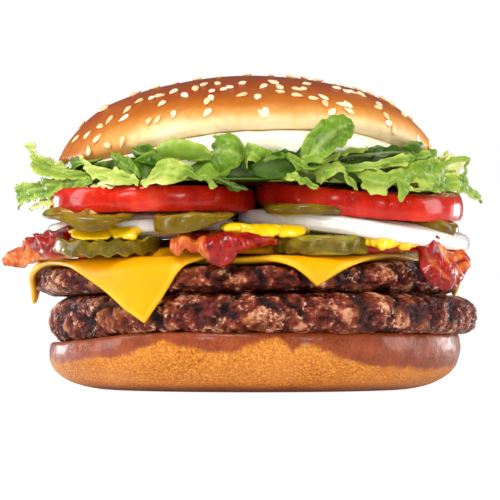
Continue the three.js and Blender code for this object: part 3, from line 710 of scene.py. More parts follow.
def drape(s, lift, pull=(), hollow=(0, 0), n=116):
    """Mid surface of a square slice laid over the upper patty and bent down round its edge. pull shortens it towards some corners: (heading in degrees, where it starts, share kept). hollow draws in the middles of its two front sides."""
    g = np.sin(np.linspace(-1, 1, n) * math.pi / 2 * 0.94) / math.sin(math.pi / 2 * 0.94) * SIDE / 2
    u, v = np.meshgrid(g, g, indexing="ij")
    w1 = u + hollow[0] * smooth(0.2, 1, -u / (SIDE / 2)) * (1 - (2 * v / SIDE) ** 2) * (1 + 0.9 * SKEW * 2 * v / SIDE)
    w2 = v + hollow[1] * smooth(0.2, 1, -v / (SIDE / 2)) * (1 - (2 * u / SIDE) ** 2)
    x, y = place(s, w1, w2)
    for heading, knee, keep in pull:
        hx, hy = math.cos(math.radians(heading)), math.sin(math.radians(heading))
        d = (x - s[0]) * hx + (y - s[1]) * hy
        cut = np.maximum(0, d - knee) * (1 - keep)
        x, y = x - cut * hx, y - cut * hy
    rho, th = np.hypot(x - UX, y), np.arctan2(y, x - UX)
    start = upper_r(th) - UPPER_EDGE
    ez = upper_top(UX + start * np.cos(th), start * np.sin(th))
    half = (ez - UPPER_BOTTOM) / 2
    arc = ((UPPER_EDGE + half) / 2 + CHEESE_T / 2 + GAP) * 1.08
    over = rho - start
    loose = 0.55 * np.sin(math.pi * np.clip((over + 5) / (arc * math.pi / 2 + 7), 0, 1))
    off = GAP + loose + lift(x, y) + CHEESE_T / 2
    a = np.clip(over / arc, 0, math.pi / 2)
    down = np.maximum(0, over - arc * math.pi / 2)
    sa, ca = np.sin(a), np.maximum(0, np.cos(a))
    pw = 2 / EDGE_POWER
    nr, nz = sa ** (2 - pw) / UPPER_EDGE, ca ** (2 - pw) / half
    nl = np.hypot(nr, nz)
    curl = 0.010 * down**2 * (1 + 0.4 * np.sin(3 * th))
    r = start + UPPER_EDGE * sa**pw + (off + 0.35 * sa) * nr / nl + curl
    z = ez - half + half * ca**pw + off * nz / nl - down * 0.985
    bent = np.stack([UX + r * np.cos(th), r * np.sin(th), z], -1)
    flat = np.stack([x, y, upper_top(x, y) + off], -1)
    P = np.where((over > 0)[..., None], bent, flat)
    edge = smooth(SIDE / 2 - 9, SIDE / 2, np.maximum(np.abs(u), np.abs(v)))
    P = P + grid_normals(P) * ((0.28 * noise(P, 15, s[2]) + 0.10 * noise(P, 6, s[2] + 3)) * (0.25 + 0.75 * edge))[..., None]
    thin = smooth(SIDE / 2 - 1.0, SIDE / 2, np.maximum(np.abs(u), np.abs(v)))
    return P, thin


RIGHT, LEFT = (2.5, -3.5, 14.0), (-17.9, -8.8, -14.8)
P, thin = drape(RIGHT, lambda x, y: 0 * x, [(-76, 49, 0.80), (194, 34, 0.45)], (-2.0, -1.5))
sheet("cheese_right_melted", P, CHEESE_T * (1 - 0.25 * thin), CHEESE, {"thin": thin}, bulge=0.45, slot="cheese", stands_for=["cheese_right"])


def left_lift(x, y):
    d = (x - RIGHT[0]) * math.cos(math.radians(194)) + (y - RIGHT[1]) * math.sin(math.radians(194))
    return LIFT * (1 - smooth(1.5, 9, inside(RIGHT, x, y) + 0.9 * np.maximum(0, d - 36)))


P, thin = drape(LEFT, left_lift, [(165.2, 38, 0.63), (-104.8, 52, 0.72)], (4.6, 3.0))
sheet("cheese_left_melted", P, CHEESE_T * (1 - 0.25 * thin), CHEESE, {"thin": thin}, bulge=0.45, slot="cheese", stands_for=["cheese_left"])

# ------------------------------------------------------------------ slices
SLOPES = {
    "pickle_front_left": (0.03, 0.12, 12, 1), "pickle_front_right": (0.0, 0.10, 96, 2),
    "pickle_back_right": (-0.05, -0.05, 20, 3), "pickle_back_left": (0.05, -0.07, -30, 4),
    "onion_left": (0.01, 0.035, 0.003, 6), "onion_right": (-0.07, 0.02, 0.004, 7), "onion_back": (0.0, -0.03, 0.003, 8),
    "tomato_left": (-0.01, 0.03, 0.002, 9), "tomato_right": (-0.07, 0.115, 0.001, 10), "tomato_back": (0.0, -0.04, 0.002, 11),
    "jalapeno_left": (0.02, 0.16, 0, 12), "jalapeno_centre": (0.04, 0.17, 0, 13), "jalapeno_inner": (-0.07, 0.03, 0, 14),
    "jalapeno_right": (-0.12, 0.12, 0, 15), "jalapeno_back": (0.05, -0.06, 0, 16),
}


def slice_rings(cx, cy, cz, r, t, sx, sy, droop, seed, n, inner, rim, uneven=0.015, edge=1.2, face=None, bulge=0.0):
    """Rings of a tilted, drooping slice. face(fx, fy, f) gives a height added to both cut faces, in millimetres."""
    f_in = np.linspace(0.06, 1, inner, endpoint=False) * (1 - edge / r)
    a = np.linspace(-math.pi / 2, math.pi / 2, rim)
    c = np.abs(np.cos(a)) ** 0.55
    s = np.sign(np.sin(a)) * np.abs(np.sin(a)) ** 0.8
    f = np.concatenate([f_in, 1 - edge / r + edge / r * c, f_in[::-1]])
    h = np.concatenate([0 * f_in - 0.5, 0.5 * s, 0 * f_in + 0.5])
    th = np.arange(n) / n * TAU
    R0 = r * (1 + uneven * wobble(th, seed))
    x, y = f[:, None] * R0 * np.cos(th), f[:, None] * R0 * np.sin(th)
    H = h[:, None] * np.ones_like(x)
    T = t * H
    if face is not None:
        T = T + np.sign(H) * smooth(0.25, 0.5, np.abs(H)) * face(x, y, f[:, None] * np.ones_like(x))
    rho = np.hypot(cx + x - UX, cy + y)
    z = cz + sx * x + sy * y + T - droop * np.maximum(0, rho - 38) ** 2
    R = np.stack([cx + x, cy + y, z], -1)
    if bulge:
        out = (1 - (2 * H) ** 2) * smooth(0.9, 1, f[:, None]) * bulge
        R[..., 0] += out * np.cos(th)
        R[..., 1] += out * np.sin(th)
    return R, H, f[:, None] * np.ones_like(x), th * np.ones_like(x), x, y


def node_slice(node, t):
    """Middle, radius and height of a slice node, from its box and its slopes."""
    lo, hi = box(node)
    sx, sy, w, seed = SLOPES[node]
    return (lo + hi) / 2, max(hi[0] - lo[0], hi[1] - lo[1]) / 2, (lo, hi), sx, sy, w, seed


# ---- pickles
def make_pickle(node):
    c, r, (lo, hi), sx, sy, turn, seed = node_slice(node, 3.6)
    if node == "pickle_front_left":
        c, r = np.array([-37.4, -36.0, 37.5]), 13.4
    elif node == "pickle_front_right":
        c, r = np.array([17.0, -41.4, 37.6]), 12.4
    elif node == "pickle_back_right":
        c = np.array([35, 29, 37.2])
    else:
        c = np.array([-33, 35, 37.7])
    tc, ts = math.cos(math.radians(turn)), math.sin(math.radians(turn))

    def wave(x, y):
        return 0.46 * np.sin(TAU * (tc * x + ts * y) / 4.3 + seed)
    R, H, f, th, x, y = slice_rings(c[0], c[1], c[2], r, 3.9, sx, sy, 0, seed, 190, 18, 16, uneven=0.03, edge=0.9)
    seeds = np.zeros_like(f)
    rnd = np.random.RandomState(seed)
    for _ in range(26):
        a, q = rnd.uniform(0, TAU), rnd.uniform(0.25, 0.62) * r
        dx, dy = x - q * math.cos(a), y - q * math.sin(a)
        al, ac = dx * math.cos(a) + dy * math.sin(a), -dx * math.sin(a) + dy * math.cos(a)
        seeds = np.maximum(seeds, np.exp(-((al / 1.6) ** 2 + (ac / 0.7) ** 2) ** 2))
    R[..., 2] += wave(x, y) + 0.18 * seeds * np.sign(H)
    N = ring_normals(R)
    warts = np.maximum(0, noise(R, 3.1, seed)) * 0.7
    wall = smooth(0.93, 0.99, f) * (1 - smooth(0.36, 0.48, np.abs(H)))
    R = R + N * (wall * warts + 0.06 * fbm(R, 2.5, 2, seed))[..., None]
    wheel(node + "_crinkle", R, PICKLE, {"skin": wall * (0.75 + 0.25 * np.clip(warts, 0, 1)), "seed": seeds * smooth(0.3, 0.5, np.abs(H))}, slot="pickle", stands_for=[node])


for node in ("pickle_front_left", "pickle_front_right", "pickle_back_right", "pickle_back_left"):
    make_pickle(node)

# ---- onions
ONIONS = {"onion_left": (-29.8, -20.0, 43.0, 24.2), "onion_right": (25.8, -20.8, 42.9, 29.6), "onion_back": (0, 33, 43.2, 22)}
for node, (cx, cy, cz, r) in ONIONS.items():
    sx, sy, droop, seed = SLOPES[node]
    pitch = 4.3

    def face(x, y, f, r=r, seed=seed):
        q = f * r / pitch + 0.25 * noise(np.stack([x, y, 0 * x], -1), 14, seed)
        g = np.abs((q % 1) - 0.5) * 2
        return -0.75 * smooth(0.80, 1.0, g) + 0.25 * np.sin(q * 2.1 + seed) + 1.25 * smooth(1.0, 0.72, f)
    R, H, f, th, x, y = slice_rings(cx, cy, cz, r, 3.7, sx, sy, droop, seed, 220, 32, 16, uneven=0.012, edge=1.1, face=face, bulge=0.35)
    q = f * r / pitch + 0.25 * noise(np.stack([x, y, 0 * x], -1), 14, seed)
    groove = smooth(0.82, 1.0, np.abs((q % 1) - 0.5) * 2) * smooth(0.3, 0.5, np.abs(H))
    groove = np.maximum(groove, smooth(0.42, 0.5, np.abs(H)) * smooth(0.97, 1.0, f) * 0.6)
    blush = smooth(-0.2, 0.6, noise(R, 26, seed + 2) + 0.5 * np.cos(th + 0.4))
    R[..., 2] += 0.35 * noise(R, 22, seed + 5)
    wheel(node + "_slice", R, ONION, {"groove": groove, "blush": blush}, slot="onion", stands_for=[node])

# ---- tomatoes
TOMATOES = {"tomato_left": (-26.9, -21.5, 49.7, 26.7), "tomato_right": (27.3, -21.5, 50.2, 26.6), "tomato_back": (-1, 32.4, 50.0, 24.4)}
drops = Heap()


def half_drop(centre, normal, r):
    """A water drop: a low dome on a surface."""
    nv = np.asarray(normal, float)
    nv /= np.linalg.norm(nv)
    s = np.cross(nv, [0.3, 0.2, 0.93])
    s /= np.linalg.norm(s)
    t = np.cross(nv, s)
    rings = []
    for e in (-0.35, 0.0, 0.35, 0.7, 1.05, 1.35):
        a = np.arange(12) / 12 * TAU
        rings.append(centre + np.outer(np.cos(a), s) * r * math.cos(e) + np.outer(np.sin(a), t) * r * math.cos(e) + nv * r * 0.62 * math.sin(e))
    R = np.array(rings)
    V = np.concatenate([R[0].mean(0)[None], R.reshape(-1, 3), R[-1].mean(0)[None]])
    q, tr = wheel_faces(6, 12)
    return V, q, tr


for node, (cx, cy, cz, r) in TOMATOES.items():
    sx, sy, droop, seed = SLOPES[node]
    parts = 5 + seed % 2

    def gel_of(x, y, f, seed=seed, parts=parts):
        th = np.arctan2(y, x)
        lobe = np.abs(np.sin((th + seed) * parts / 2 + 0.25 * np.sin(th * 2 + seed)))
        return smooth(0.30, 0.40, f) * smooth(0.80, 0.72, f) * smooth(0.42, 0.62, lobe)

    def face(x, y, f, gel_of=gel_of):
        return -0.9 * gel_of(x, y, f) + 0.15 * noise(np.stack([x, y, 0 * x], -1), 5, 3)
    R, H, f, th, x, y = slice_rings(cx, cy, cz, r, 6.5, sx, sy, droop, seed, 230, 26, 24, uneven=0.014, edge=0.7, face=face, bulge=0.45)
    gel = gel_of(x, y, f) * smooth(0.3, 0.5, np.abs(H))
    seeds = gel * smooth(0.30, 0.55, noise(np.stack([x, y, 0 * x], -1), 2.6, seed))
    skin = smooth(0.945, 0.975, f)
    N = ring_normals(R)
    R = R + N * (0.14 * fbm(R, 9, 3, seed) + 0.28 * seeds)[..., None]
    wheel(node + "_slice", R, TOMATO, {"skin": skin, "gel": gel, "seed": seeds}, slot="tomato", stands_for=[node])
    rnd = np.random.RandomState(seed)
    wall = np.argwhere((f > 0.985) & (np.abs(H) < 0.36))
    for k in rnd.choice(len(wall), 34, replace=False):
        j, i = wall[k]
        drops.add(*half_drop(R[j, i], N[j, i], rnd.choice([0.22, 0.32, 0.45, 0.7], p=[0.45, 0.3, 0.18, 0.07])))

# ---- jalapenos
JALAPENOS = {"jalapeno_left": (-41.5, -42.5, 44.0, 11.6, 4.2), "jalapeno_centre": (-15.4, -47.6, 42.9, 10, 5.2), "jalapeno_inner": (13, -41, 45.9, 10.6, 2.8),
             "jalapeno_right": (44.4, -33.6, 42.2, 7.0, 5.0), "jalapeno_back": (-37, 26, 44.4, 11, 3.8)}
for node, (cx, cy, cz, r, t) in JALAPENOS.items():
    sx, sy, droop, seed = SLOPES[node]

    def hole(x, y, f, seed=seed):
        th = np.arctan2(y, x)
        web = np.minimum(np.abs(np.sin(th * 1.5 + seed)), 1)
        return smooth(0.76, 0.66, f) * smooth(0.10, 0.24, f) * smooth(0.14, 0.34, web)

    def face(x, y, f, hole=hole, t=t):
        return -0.34 * t * hole(x, y, f)
    R, H, f, th, x, y = slice_rings(cx, cy, cz, r, t, sx, sy, 0, seed, 140, 18, 18, uneven=0.035, edge=0.8, face=face, bulge=0.3)
    seeds = hole(x, y, f) * smooth(0.25, 0.5, noise(np.stack([x, y, 0 * x], -1), 2.2, seed)) * smooth(0.3, 0.5, np.abs(H))
    taper = 0.42 * smooth(-0.2, 1, x / r) + 0.20 * smooth(0.3, -1, x / r)
    # two of the slices are cut as wedges: their lower face rises towards one end
    if node == "jalapeno_centre":
        R[..., 2] += (0.5 - H) * t * 0.42 * smooth(-0.4, 0.9, x / r)
    elif node == "jalapeno_left":
        R[..., 2] += (0.5 - H) * t * (0.55 * smooth(0.1, -0.9, x / r) + 0.35 * smooth(0.3, 0.9, x / r))
    R[..., 2] += -taper * H * t + 0.35 * seeds * np.sign(H) + 0.9 * noise(np.stack([R[..., 0], R[..., 1], 0 * x], -1), 11, seed)
    flesh = smooth(0.36, 0.47, np.abs(H)) * smooth(1.01, 0.95, f)
    R = R + ring_normals(R) * (0.10 * fbm(R, 5, 2, seed))[..., None]
    wheel(node + "_slice", R, JALAPENO, {"flesh": flesh, "seed": seeds}, slot="jalapeno", stands_for=[node])

# ---- bacon
BACON_T = 1.9
STRIPS = {
    "bacon_left": ([(-57.5, -18, 36.0, 9, -20, 90), (-55, -17.5, 37.2, 13, -26, 92), (-50, -16, 38.8, 16, -24, 96),
                    (-42, -9, 39.6, 15, -8, 108), (-30, -4, 39.65, 15, 0, 98), (-10, -2, 39.65, 15, 0, 90)], 31),
    "bacon_centre": ([(-9.2, -56.0, 36.4, 15, 0, -4), (-9.0, -54.0, 37.6, 18, 0, -2), (-8.5, -49, 38.9, 18, 0, 0), (-8, -36, 39.65, 16, 0, 0), (-8, -16, 39.65, 15, 0, 0)], 32),
    "bacon_right": ([(47.6, -34.4, 33.6, 13, 0, 42), (47.0, -33.6, 36.4, 15, 0, 44), (44.5, -29.6, 38.6, 16, 0, 50), (37, -18, 39.65, 15, 0, 66),
                     (22, -9, 39.65, 14, 0, 84), (-2, -6, 39.65, 14, 0, 90)], 33),
    "bacon_back": ([(4.5, 59.2, 32.8, 14, 0, 178), (4, 58.2, 36.0, 16, 0, 179), (2, 49, 38.8, 17, 0, 180), (1, 36, 39.65, 16, 0, 180), (0, 12, 39.65, 15, 0, 180)], 34),
}


def strip(stations, seed, nl=170, nw=34, crumple=1.0, outer=0.30):
    """Mid surface of a wavy crisp strip led along its stations; the crumple is strongest in its outer part."""
    st = catmull(stations, nl)
    p = st[:, :3]
    q = np.gradient(p, axis=0)
    q /= np.linalg.norm(q, axis=1, keepdims=True)
    hd, roll = np.radians(st[:, 5]), np.radians(st[:, 4])
    sd = np.stack([np.cos(hd), np.sin(hd), 0 * hd], 1)
    sd -= (sd * q).sum(1, keepdims=True) * q
    sd /= np.linalg.norm(sd, axis=1, keepdims=True)
    up = np.cross(q, sd)
    across = sd * np.cos(roll)[:, None] + up * np.sin(roll)[:, None]
    nrm = np.cross(q, across)
    k = np.linspace(0, 1, nl)
    v = np.linspace(-1, 1, nw)
    K, V = np.meshgrid(k, v, indexing="ij")
    Q = np.stack([K * 60, V * 7, 0 * K + seed], -1)
    width = st[:, 3:4] / 2 * (1 + 0.10 * noise(Q[:, :1] * [1, 0, 1], 7, seed))
    free = smooth(outer + 0.22, outer - 0.08, K)
    edge = 1 + 0.12 * noise(np.stack([K * 60, np.sign(V) * 9, 0 * K], -1), 3.2, seed + 1) * np.abs(V) ** 3
    wave = 0.5 * np.sin(TAU * (2.6 * K + 0.10 * V) + seed)
    fold = free * crumple * (1.25 * noise(Q, 8.0, seed + 2) * (0.4 + 0.6 * np.abs(V)) + 0.7 * noise(Q, 4.0, seed + 3) * (0.3 + 0.7 * V * V))
    P = p[:, None] + across[:, None] * (V * width * edge)[..., None] + nrm[:, None] * (wave * 0.9 + fold)[..., None]
    stripe = np.cos(math.pi * V * 2.1 + 1.5 * noise(np.stack([K * 60, 0 * V, 0 * K], -1), 17, seed + 4) + seed)
    fat = 0.5 + 0.5 * stripe + 0.30 * noise(Q, 5, seed + 5)
    return P, np.clip(fat, 0, 1), K, V


# The crumpled ends that show at the front: upper edge and lower edge, left to right.
FOLDS = {
    "right_under": ([(27, -47, 36.6), (31.5, -45.5, 37.0), (36, -44, 37.3), (41, -41.5, 37.6), (45, -39, 37.8)],
        [(27, -47, 35.2), (31.5, -45.5, 35.3), (36, -44, 35.4), (41, -41.5, 35.5), (45, -39, 35.6)]),
    "left_under": ([(-55, -30, 36.7), (-51, -34, 37.2), (-46, -37, 37.4), (-41, -39, 37.4), (-36, -41, 37.3)],
        [(-55, -29, 34.4), (-51, -33, 34.2), (-46, -36, 34.4), (-41, -38, 34.8), (-36, -40, 35.2)]),
    "left_lobe": ([(-65.9, -17, 34.8), (-63.7, -18, 36.9), (-60.9, -20, 38.4), (-58.3, -23, 40), (-55, -27, 40.1), (-51.1, -31, 38.9), (-47.3, -33, 37.3)],
        [(-64.9, -17, 32.7), (-61.8, -19, 32.1), (-58.6, -22, 33.1), (-54.6, -26, 34.5), (-51.2, -30, 35.1), (-48.4, -32, 35.3), (-46.3, -33, 35.2)]),
    "left_fold": ([(-57.1, -27, 40.1), (-55, -30, 40.5), (-52.4, -33, 40.8), (-49.6, -36, 41.7), (-46.3, -39, 42.1), (-43.2, -40, 41.5), (-41.2, -40, 40.5)],
        [(-54.9, -28, 37.2), (-52.6, -31, 35.8), (-50.3, -34, 35.2), (-47.5, -37, 36.8), (-45, -40, 38.5), (-42.7, -41, 39.4), (-41.1, -41, 39.7)]),
    "centre_knot": ([(-20.5, -54, 38), (-19, -55, 38.7), (-17, -56, 38.4), (-15.1, -56, 37.5), (-12.6, -57, 37.2)],
        [(-20.5, -55, 35.3), (-18.7, -56, 34.5), (-16.8, -57, 35.7), (-14.6, -57, 34.5), (-12.1, -58, 33.7)]),
    "centre_bulge": ([(-14.1, -56, 37.7), (-11.6, -57, 38.6), (-8.7, -57, 39.6), (-5.3, -57, 39.6), (-1.8, -55, 39), (1.6, -53, 38.8), (5.1, -51, 38.4)],
        [(-13.1, -58, 34.7), (-11.3, -59, 32.4), (-8.7, -59, 31.5), (-6.2, -59, 32.2), (-3.8, -58, 34.7), (0.6, -55, 36.5), (5.1, -52, 36.9)]),
    "right_ridge": ([(40, -41, 38.9), (42.4, -42, 39.9), (44.9, -42, 39.4), (47, -41, 37.7), (48.3, -40, 35.2), (49.2, -39, 32.4), (49.9, -39, 29.4)],
        [(41.3, -43, 35.3), (41.7, -44, 32.3), (42.2, -44, 29.3), (44.2, -44, 27.3), (46.3, -43, 26.3), (48.1, -42, 25.8), (49.5, -41, 26.3)]),
    "right_lobe": ([(47.8, -38, 36), (49.4, -37, 35.6), (51.3, -35, 35.6), (53, -33, 35.5), (54.3, -31, 33.8)],
        [(48.5, -41, 26.3), (49.9, -39, 26.6), (51.4, -37, 28), (52.6, -35, 29.5), (53.9, -32, 31.7)]),
}


def fold_sheet(heap, upper, lower, fat_of, bulge, crumple, seed, nu=84, nv=30, thick=1.3):
    A, B = catmull(upper, nu), catmull(lower, nu)
    v = np.linspace(0, 1, nv)
    P = A[:, None] * (1 - v)[:, None] + B[:, None] * v[:, None]
    U, V = np.meshgrid(np.linspace(0, 1, nu), v, indexing="ij")
    outward = P.mean((0, 1)) * [1, 1, 0]
    outward = outward / np.linalg.norm(outward) * 0.5 + np.array([0, -0.5, 0])
    outward /= np.linalg.norm(outward)
    edge = (2 * V - 1) ** 2
    Q = P + np.array([0, 0, seed * 5.1])
    ends = smooth(0, 0.12, U) * smooth(1, 0.88, U)
    P = P + outward * (bulge * (1 - edge) * (0.4 + 0.6 * ends))[..., None]
    P = P + outward * (crumple * (1.3 * noise(Q, 4.2, seed) + 1.2 * (ridged(Q, 3.2, seed + 1) - 0.4) * (0.4 + 0.6 * edge)))[..., None]
    P[..., 2] += crumple * 0.8 * noise(Q * [1, 0.3, 0.5], 2.6, seed + 2) * edge
    fat = np.clip(fat_of(U, V) + 0.30 * noise(Q, 3.4, seed + 3), 0, 1)
    t = thick * (1 - 0.45 * edge) * (1 + 0.25 * noise(Q, 3, seed + 4))
    V3, faces, e = sheet_points(P, np.maximum(t, 0.5), 0.4)
    heap.add(V3, faces, None, fat=np.concatenate([fat.ravel(), fat.ravel(), fat.ravel()[e]]))


FOLD_LOOKS = {
    "right_under": (lambda U, V: 0.15 + 0.5 * smooth(0.6, 1.0, V) * U, 0.4, 0.6, 78),
    "left_under": (lambda U, V: 0.2 + 0.5 * smooth(0.5, 1.0, V), 0.5, 0.6, 77),
    "left_lobe": (lambda U, V: 0.85 - 0.65 * smooth(0.35, 0.75, U + 0.25 * (1 - V)), 0.6, 0.9, 71),
    "left_fold": (lambda U, V: 0.12 + 0.35 * smooth(0.75, 1.0, V), 0.9, 1.3, 72),
    "centre_knot": (lambda U, V: 0.85 - 0.2 * V, 0.8, 1.2, 73),
    "centre_bulge": (lambda U, V: 0.12 + 0.75 * smooth(0.20, 0.02, U) + 0.35 * smooth(0.85, 1, U) * V, 1.9, 1.0, 74),
    "right_ridge": (lambda U, V: 0.10 + 0.85 * smooth(0.40, 0.12, V) * smooth(0.25, 0.55, U) + 0.35 * np.exp(-((V - 0.62) / 0.10) ** 2), 1.3, 0.95, 75),
    "right_lobe": (lambda U, V: 0.55 + 0.30 * np.sin(11 * V + 2 * U), 0.8, 0.9, 76),
}
for node, (stations, seed) in STRIPS.items():
    P, fat, K, V = strip(stations, seed)
    thick = BACON_T * (0.85 + 0.25 * fat) * (1 - 0.35 * np.abs(V) ** 4)
    thick = np.maximum(thick + 0.30 * noise(P, 2.4, seed), 0.7)
    strips = Heap()
    V3, faces, e = sheet_points(P, thick, 0.45)
    strips.add(V3, faces, None, fat=np.concatenate([fat.ravel(), fat.ravel(), fat.ravel()[e]]))
    for fold in FOLDS:
        if fold.startswith(node[6:] + "_"):
            fat_of, bulge, crumple, fold_seed = FOLD_LOOKS[fold]
            fold_sheet(strips, FOLDS[fold][0], FOLDS[fold][1], fat_of, bulge, crumple, fold_seed)
    strips.make(node + "_strip", BACON, slot="bacon", stands_for=[node])

# ---- mustard
mustard = Heap()


def puddle(heap, cx, cy, cz, rx, ry, t, seed, turn=0.0, sx=0.0, sy=0.0, rag=0.32, n=90, m=16, sag=0.0, attrs=None):
    """A low glossy blob lying on a slope; sag lets its front hang down."""
    th = np.arange(n) / n * TAU
    rag_r = 1 + rag * noise(np.stack([np.cos(th) * 1.4, np.sin(th) * 1.4, 0 * th + seed], -1), 0.8, seed) + 0.5 * rag * noise(np.stack([np.cos(th) * 3, np.sin(th) * 3, 0 * th + seed], -1), 0.9, seed)
    a = np.linspace(-math.pi / 2, math.pi / 2, m + 2)[1:-1]
    c = np.abs(np.cos(a)) ** 0.62
    s = np.sin(a)
    ct, st = math.cos(math.radians(turn)), math.sin(math.radians(turn))
    x = c[:, None] * rag_r * rx * np.cos(th)
    y = c[:, None] * rag_r * ry * np.sin(th)
    X, Y = cx + ct * x - st * y, cy + st * x + ct * y
    Z = cz + sx * (X - cx) + sy * (Y - cy) + (t / 2 * s)[:, None] * (1 + 0.25 * noise(np.stack([X, Y, 0 * X], -1), 4, seed))
    front = np.clip(-(Y - cy) / ry, 0, 1)
    Z = Z - sag * front**2
    R = np.stack([X, Y, Z], -1)
    V = np.concatenate([R[0].mean(0)[None], R.reshape(-1, 3), R[-1].mean(0)[None]])
    q, tr = wheel_faces(m, n)
    heap.add(V, q, tr, **(attrs or {}))


puddle(mustard, -40.0, -42.5, 40.4, 7.2, 6.0, 2.6, 51, sy=0.10, sag=1.2)
puddle(mustard, -33.5, -43.5, 40.6, 5.0, 5.0, 3.0, 52, sy=0.12, sag=1.2)
puddle(mustard, 1.0, -49.5, 40.6, 6.4, 5.4, 3.2, 53, sy=0.12, sag=1.3)
puddle(mustard, -5.0, -51.0, 41.1, 3.8, 3.6, 2.2, 54, sy=0.1, sag=0.5)
puddle(mustard, 8.5, -46.5, 40.7, 5.4, 5.0, 2.8, 55, sy=0.1, sag=0.9)
puddle(mustard, 31.5, -44.5, 38.6, 5.8, 5.4, 3.9, 56, sx=-0.02, sy=0.1, turn=20, sag=1.4)
puddle(mustard, 37.8, -41.0, 38.9, 5.6, 5.4, 4.4, 57, sx=0.05, sy=0.1, turn=30, sag=1.4)
puddle(mustard, 43.0, -36.5, 39.2, 3.6, 4.4, 2.6, 58, sy=0.1, sag=0.8)
puddle(mustard, -40.5, 33.0, 41.2, 7.0, 6.0, 2.0, 59, sy=-0.1, rag=0.3)
puddle(mustard, 33.0, 35.5, 40.9, 8.5, 6.5, 2.2, 60, sy=-0.1, rag=0.3)
puddle(mustard, 52.0, 2.0, 38.4, 4.0, 8.0, 2.0, 61, sx=-0.14, rag=0.3)
mustard.make("mustard_blobs", MUSTARD, slot="mustard")

# ------------------------------------------------------------------ crown and mayonnaise
CX, CROWN_R, PLANE_Z, EQUATOR, HOLLOW = -2.6, 50.4, 61.4, 2.8, 1.2


def plane(x, y):
    return PLANE_Z - 0.03 * y + 0.02 * x


def crown_under(x, y):
    return plane(x, y) + HOLLOW * (1 - smooth(28, 45, np.hypot(x - CX, y)))


prof = [(6, HOLLOW), (16, HOLLOW), (27, HOLLOW), (37, HOLLOW * 0.46), (43, 0.12), (46.6, 0.0), (48.6, 0.35), (49.9, 1.3), (CROWN_R, EQUATOR)]
prof += [(49.9, 4.3), (48.2, 6.9), (45.6, 9.6), (42.2, 12.3), (37.4, 15.0), (30.8, 17.7), (22.0, 20.0), (12, 21.5), (1.6, 21.9)]
prof = catmull(prof, 120)
TOP = 21.9
n = 360
th = np.arange(n) / n * TAU
k = 1 + 0.007 * wobble(th, 8)
X, Y = CX + prof[:, :1] * k * np.cos(th), prof[:, :1] * k * np.sin(th)
az = np.arctan2(X - CX, -Y)
# the front of the rim is drawn up over the sauce
RAISE = 2.6 * np.exp(-((np.degrees(az) - 15) / 38) ** 4) - 3.2 * np.exp(-((np.degrees(az) + 68) / 34) ** 2) - 1.0 * np.exp(-((np.degrees(az) - 85) / 30) ** 2)
raised = prof[:, 1:] + RAISE * smooth(34, 46, prof[:, :1]) * smooth(TOP, 6, prof[:, 1:]) * (1 - prof[:, 1:] / TOP)
R = np.stack([X, Y, raised + plane(X, Y)], -1)
CROWN_N = ring_normals(R)
outside = smooth(44, 49, prof[:, :1]) + smooth(EQUATOR, EQUATOR + 1, prof[:, 1:])
outside = np.clip(outside, 0, 1) * np.ones_like(X)
h = np.clip((R[..., 2] - plane(X, Y)) / TOP, 0, 1)
rim = smooth(0.45, 0.12, h)
lines = ridged(np.stack([az * 26, h * 3, 0 * h], -1), 2.3, 4)
crease = smooth(0.55, 0.95, lines) * rim * smooth(-0.15, 0.35, noise(np.stack([az * 20, 0 * h, 0 * h], -1), 8, 6))
R = R + CROWN_N * (outside * (0.30 * fbm(R, 22, 2, 1) + 0.06 * noise(R, 6, 2) - 0.20 * crease + 0.12 * rim * noise(R, 3.2, 3)))[..., None]
CROWN_N = ring_normals(R)
# pale above the sauce at the front, browner to the sides, the back and the top
azd = np.degrees(az)
front = np.interp(azd, [-180, -110, -78, -58, -40, -22, 40, 62, 76, 90, 120, 180], [0.60, 0.64, 0.62, 0.50, 0.32, 0.07, 0.02, 0.20, 0.44, 0.64, 0.64, 0.60])
rise = np.interp(h, [0.0, 0.13, 0.28, 0.43, 0.60, 0.80, 1.0], [0.0, 0.04, 0.27, 0.55, 0.77, 0.94, 1.0])
bake = front + (0.92 - front) * rise + 0.05 * noise(R, 18, 7) - 0.06 * crease
bake = np.where(prof[:, :1] * np.ones_like(X) < 47.5, np.where(prof[:, 1:] < 1.35, 0.06, bake), bake)
wheel("top_bun_baked", R, CRUST, {"bake": np.clip(bake, 0, 1)}, slot="bun_crust", stands_for=["top_bun"])
CROWN_P = R

# ---- mayonnaise, its rim hanging in drips
n, m = 420, 46
th = np.arange(n) / n * TAU
azm = np.degrees(np.arctan2(np.cos(th), -np.sin(th)))
drip = 0.35 + 0.45 * noise(np.stack([np.cos(th) * 20, np.sin(th) * 20, 0 * th], -1), 7, 3) + 0.25 * noise(np.stack([np.cos(th) * 20, np.sin(th) * 20, 0 * th], -1), 3, 5)
for at_deg, w, hgt in ((-24, 5.0, 1.8), (-17, 3.6, 3.2), (-10, 4.5, 1.4), (2, 6, 1.0), (14, 5, 1.3), (30, 5, 1.2), (38, 4, 0.9), (-62, 4, 1.2), (95, 6, 1.6), (150, 5, 1.8), (-140, 6, 1.4), (-105, 5, 1.0)):
    drip = drip + hgt * gauss(azm - at_deg, w)
RM = 48.3 + 0.5 * np.sin(5 * th + 1) + 0.4 * np.sin(9 * th) + 0.35 * np.maximum(drip, 0) + 1.9 * np.exp(-((azm - 13) / 40) ** 4)
fi = np.linspace(0.1, 1, 10, endpoint=False)
a = np.linspace(-math.pi / 2, math.pi / 2, m - 20)
f = np.concatenate([fi * 0.93, 0.93 + 0.07 * np.cos(a) ** 0.8, fi[::-1] * 0.93])
hh = np.concatenate([0 * fi, 0.5 + 0.5 * np.sin(a), 0 * fi + 1])
X, Y = CX + f[:, None] * RM * np.cos(th), f[:, None] * RM * np.sin(th)
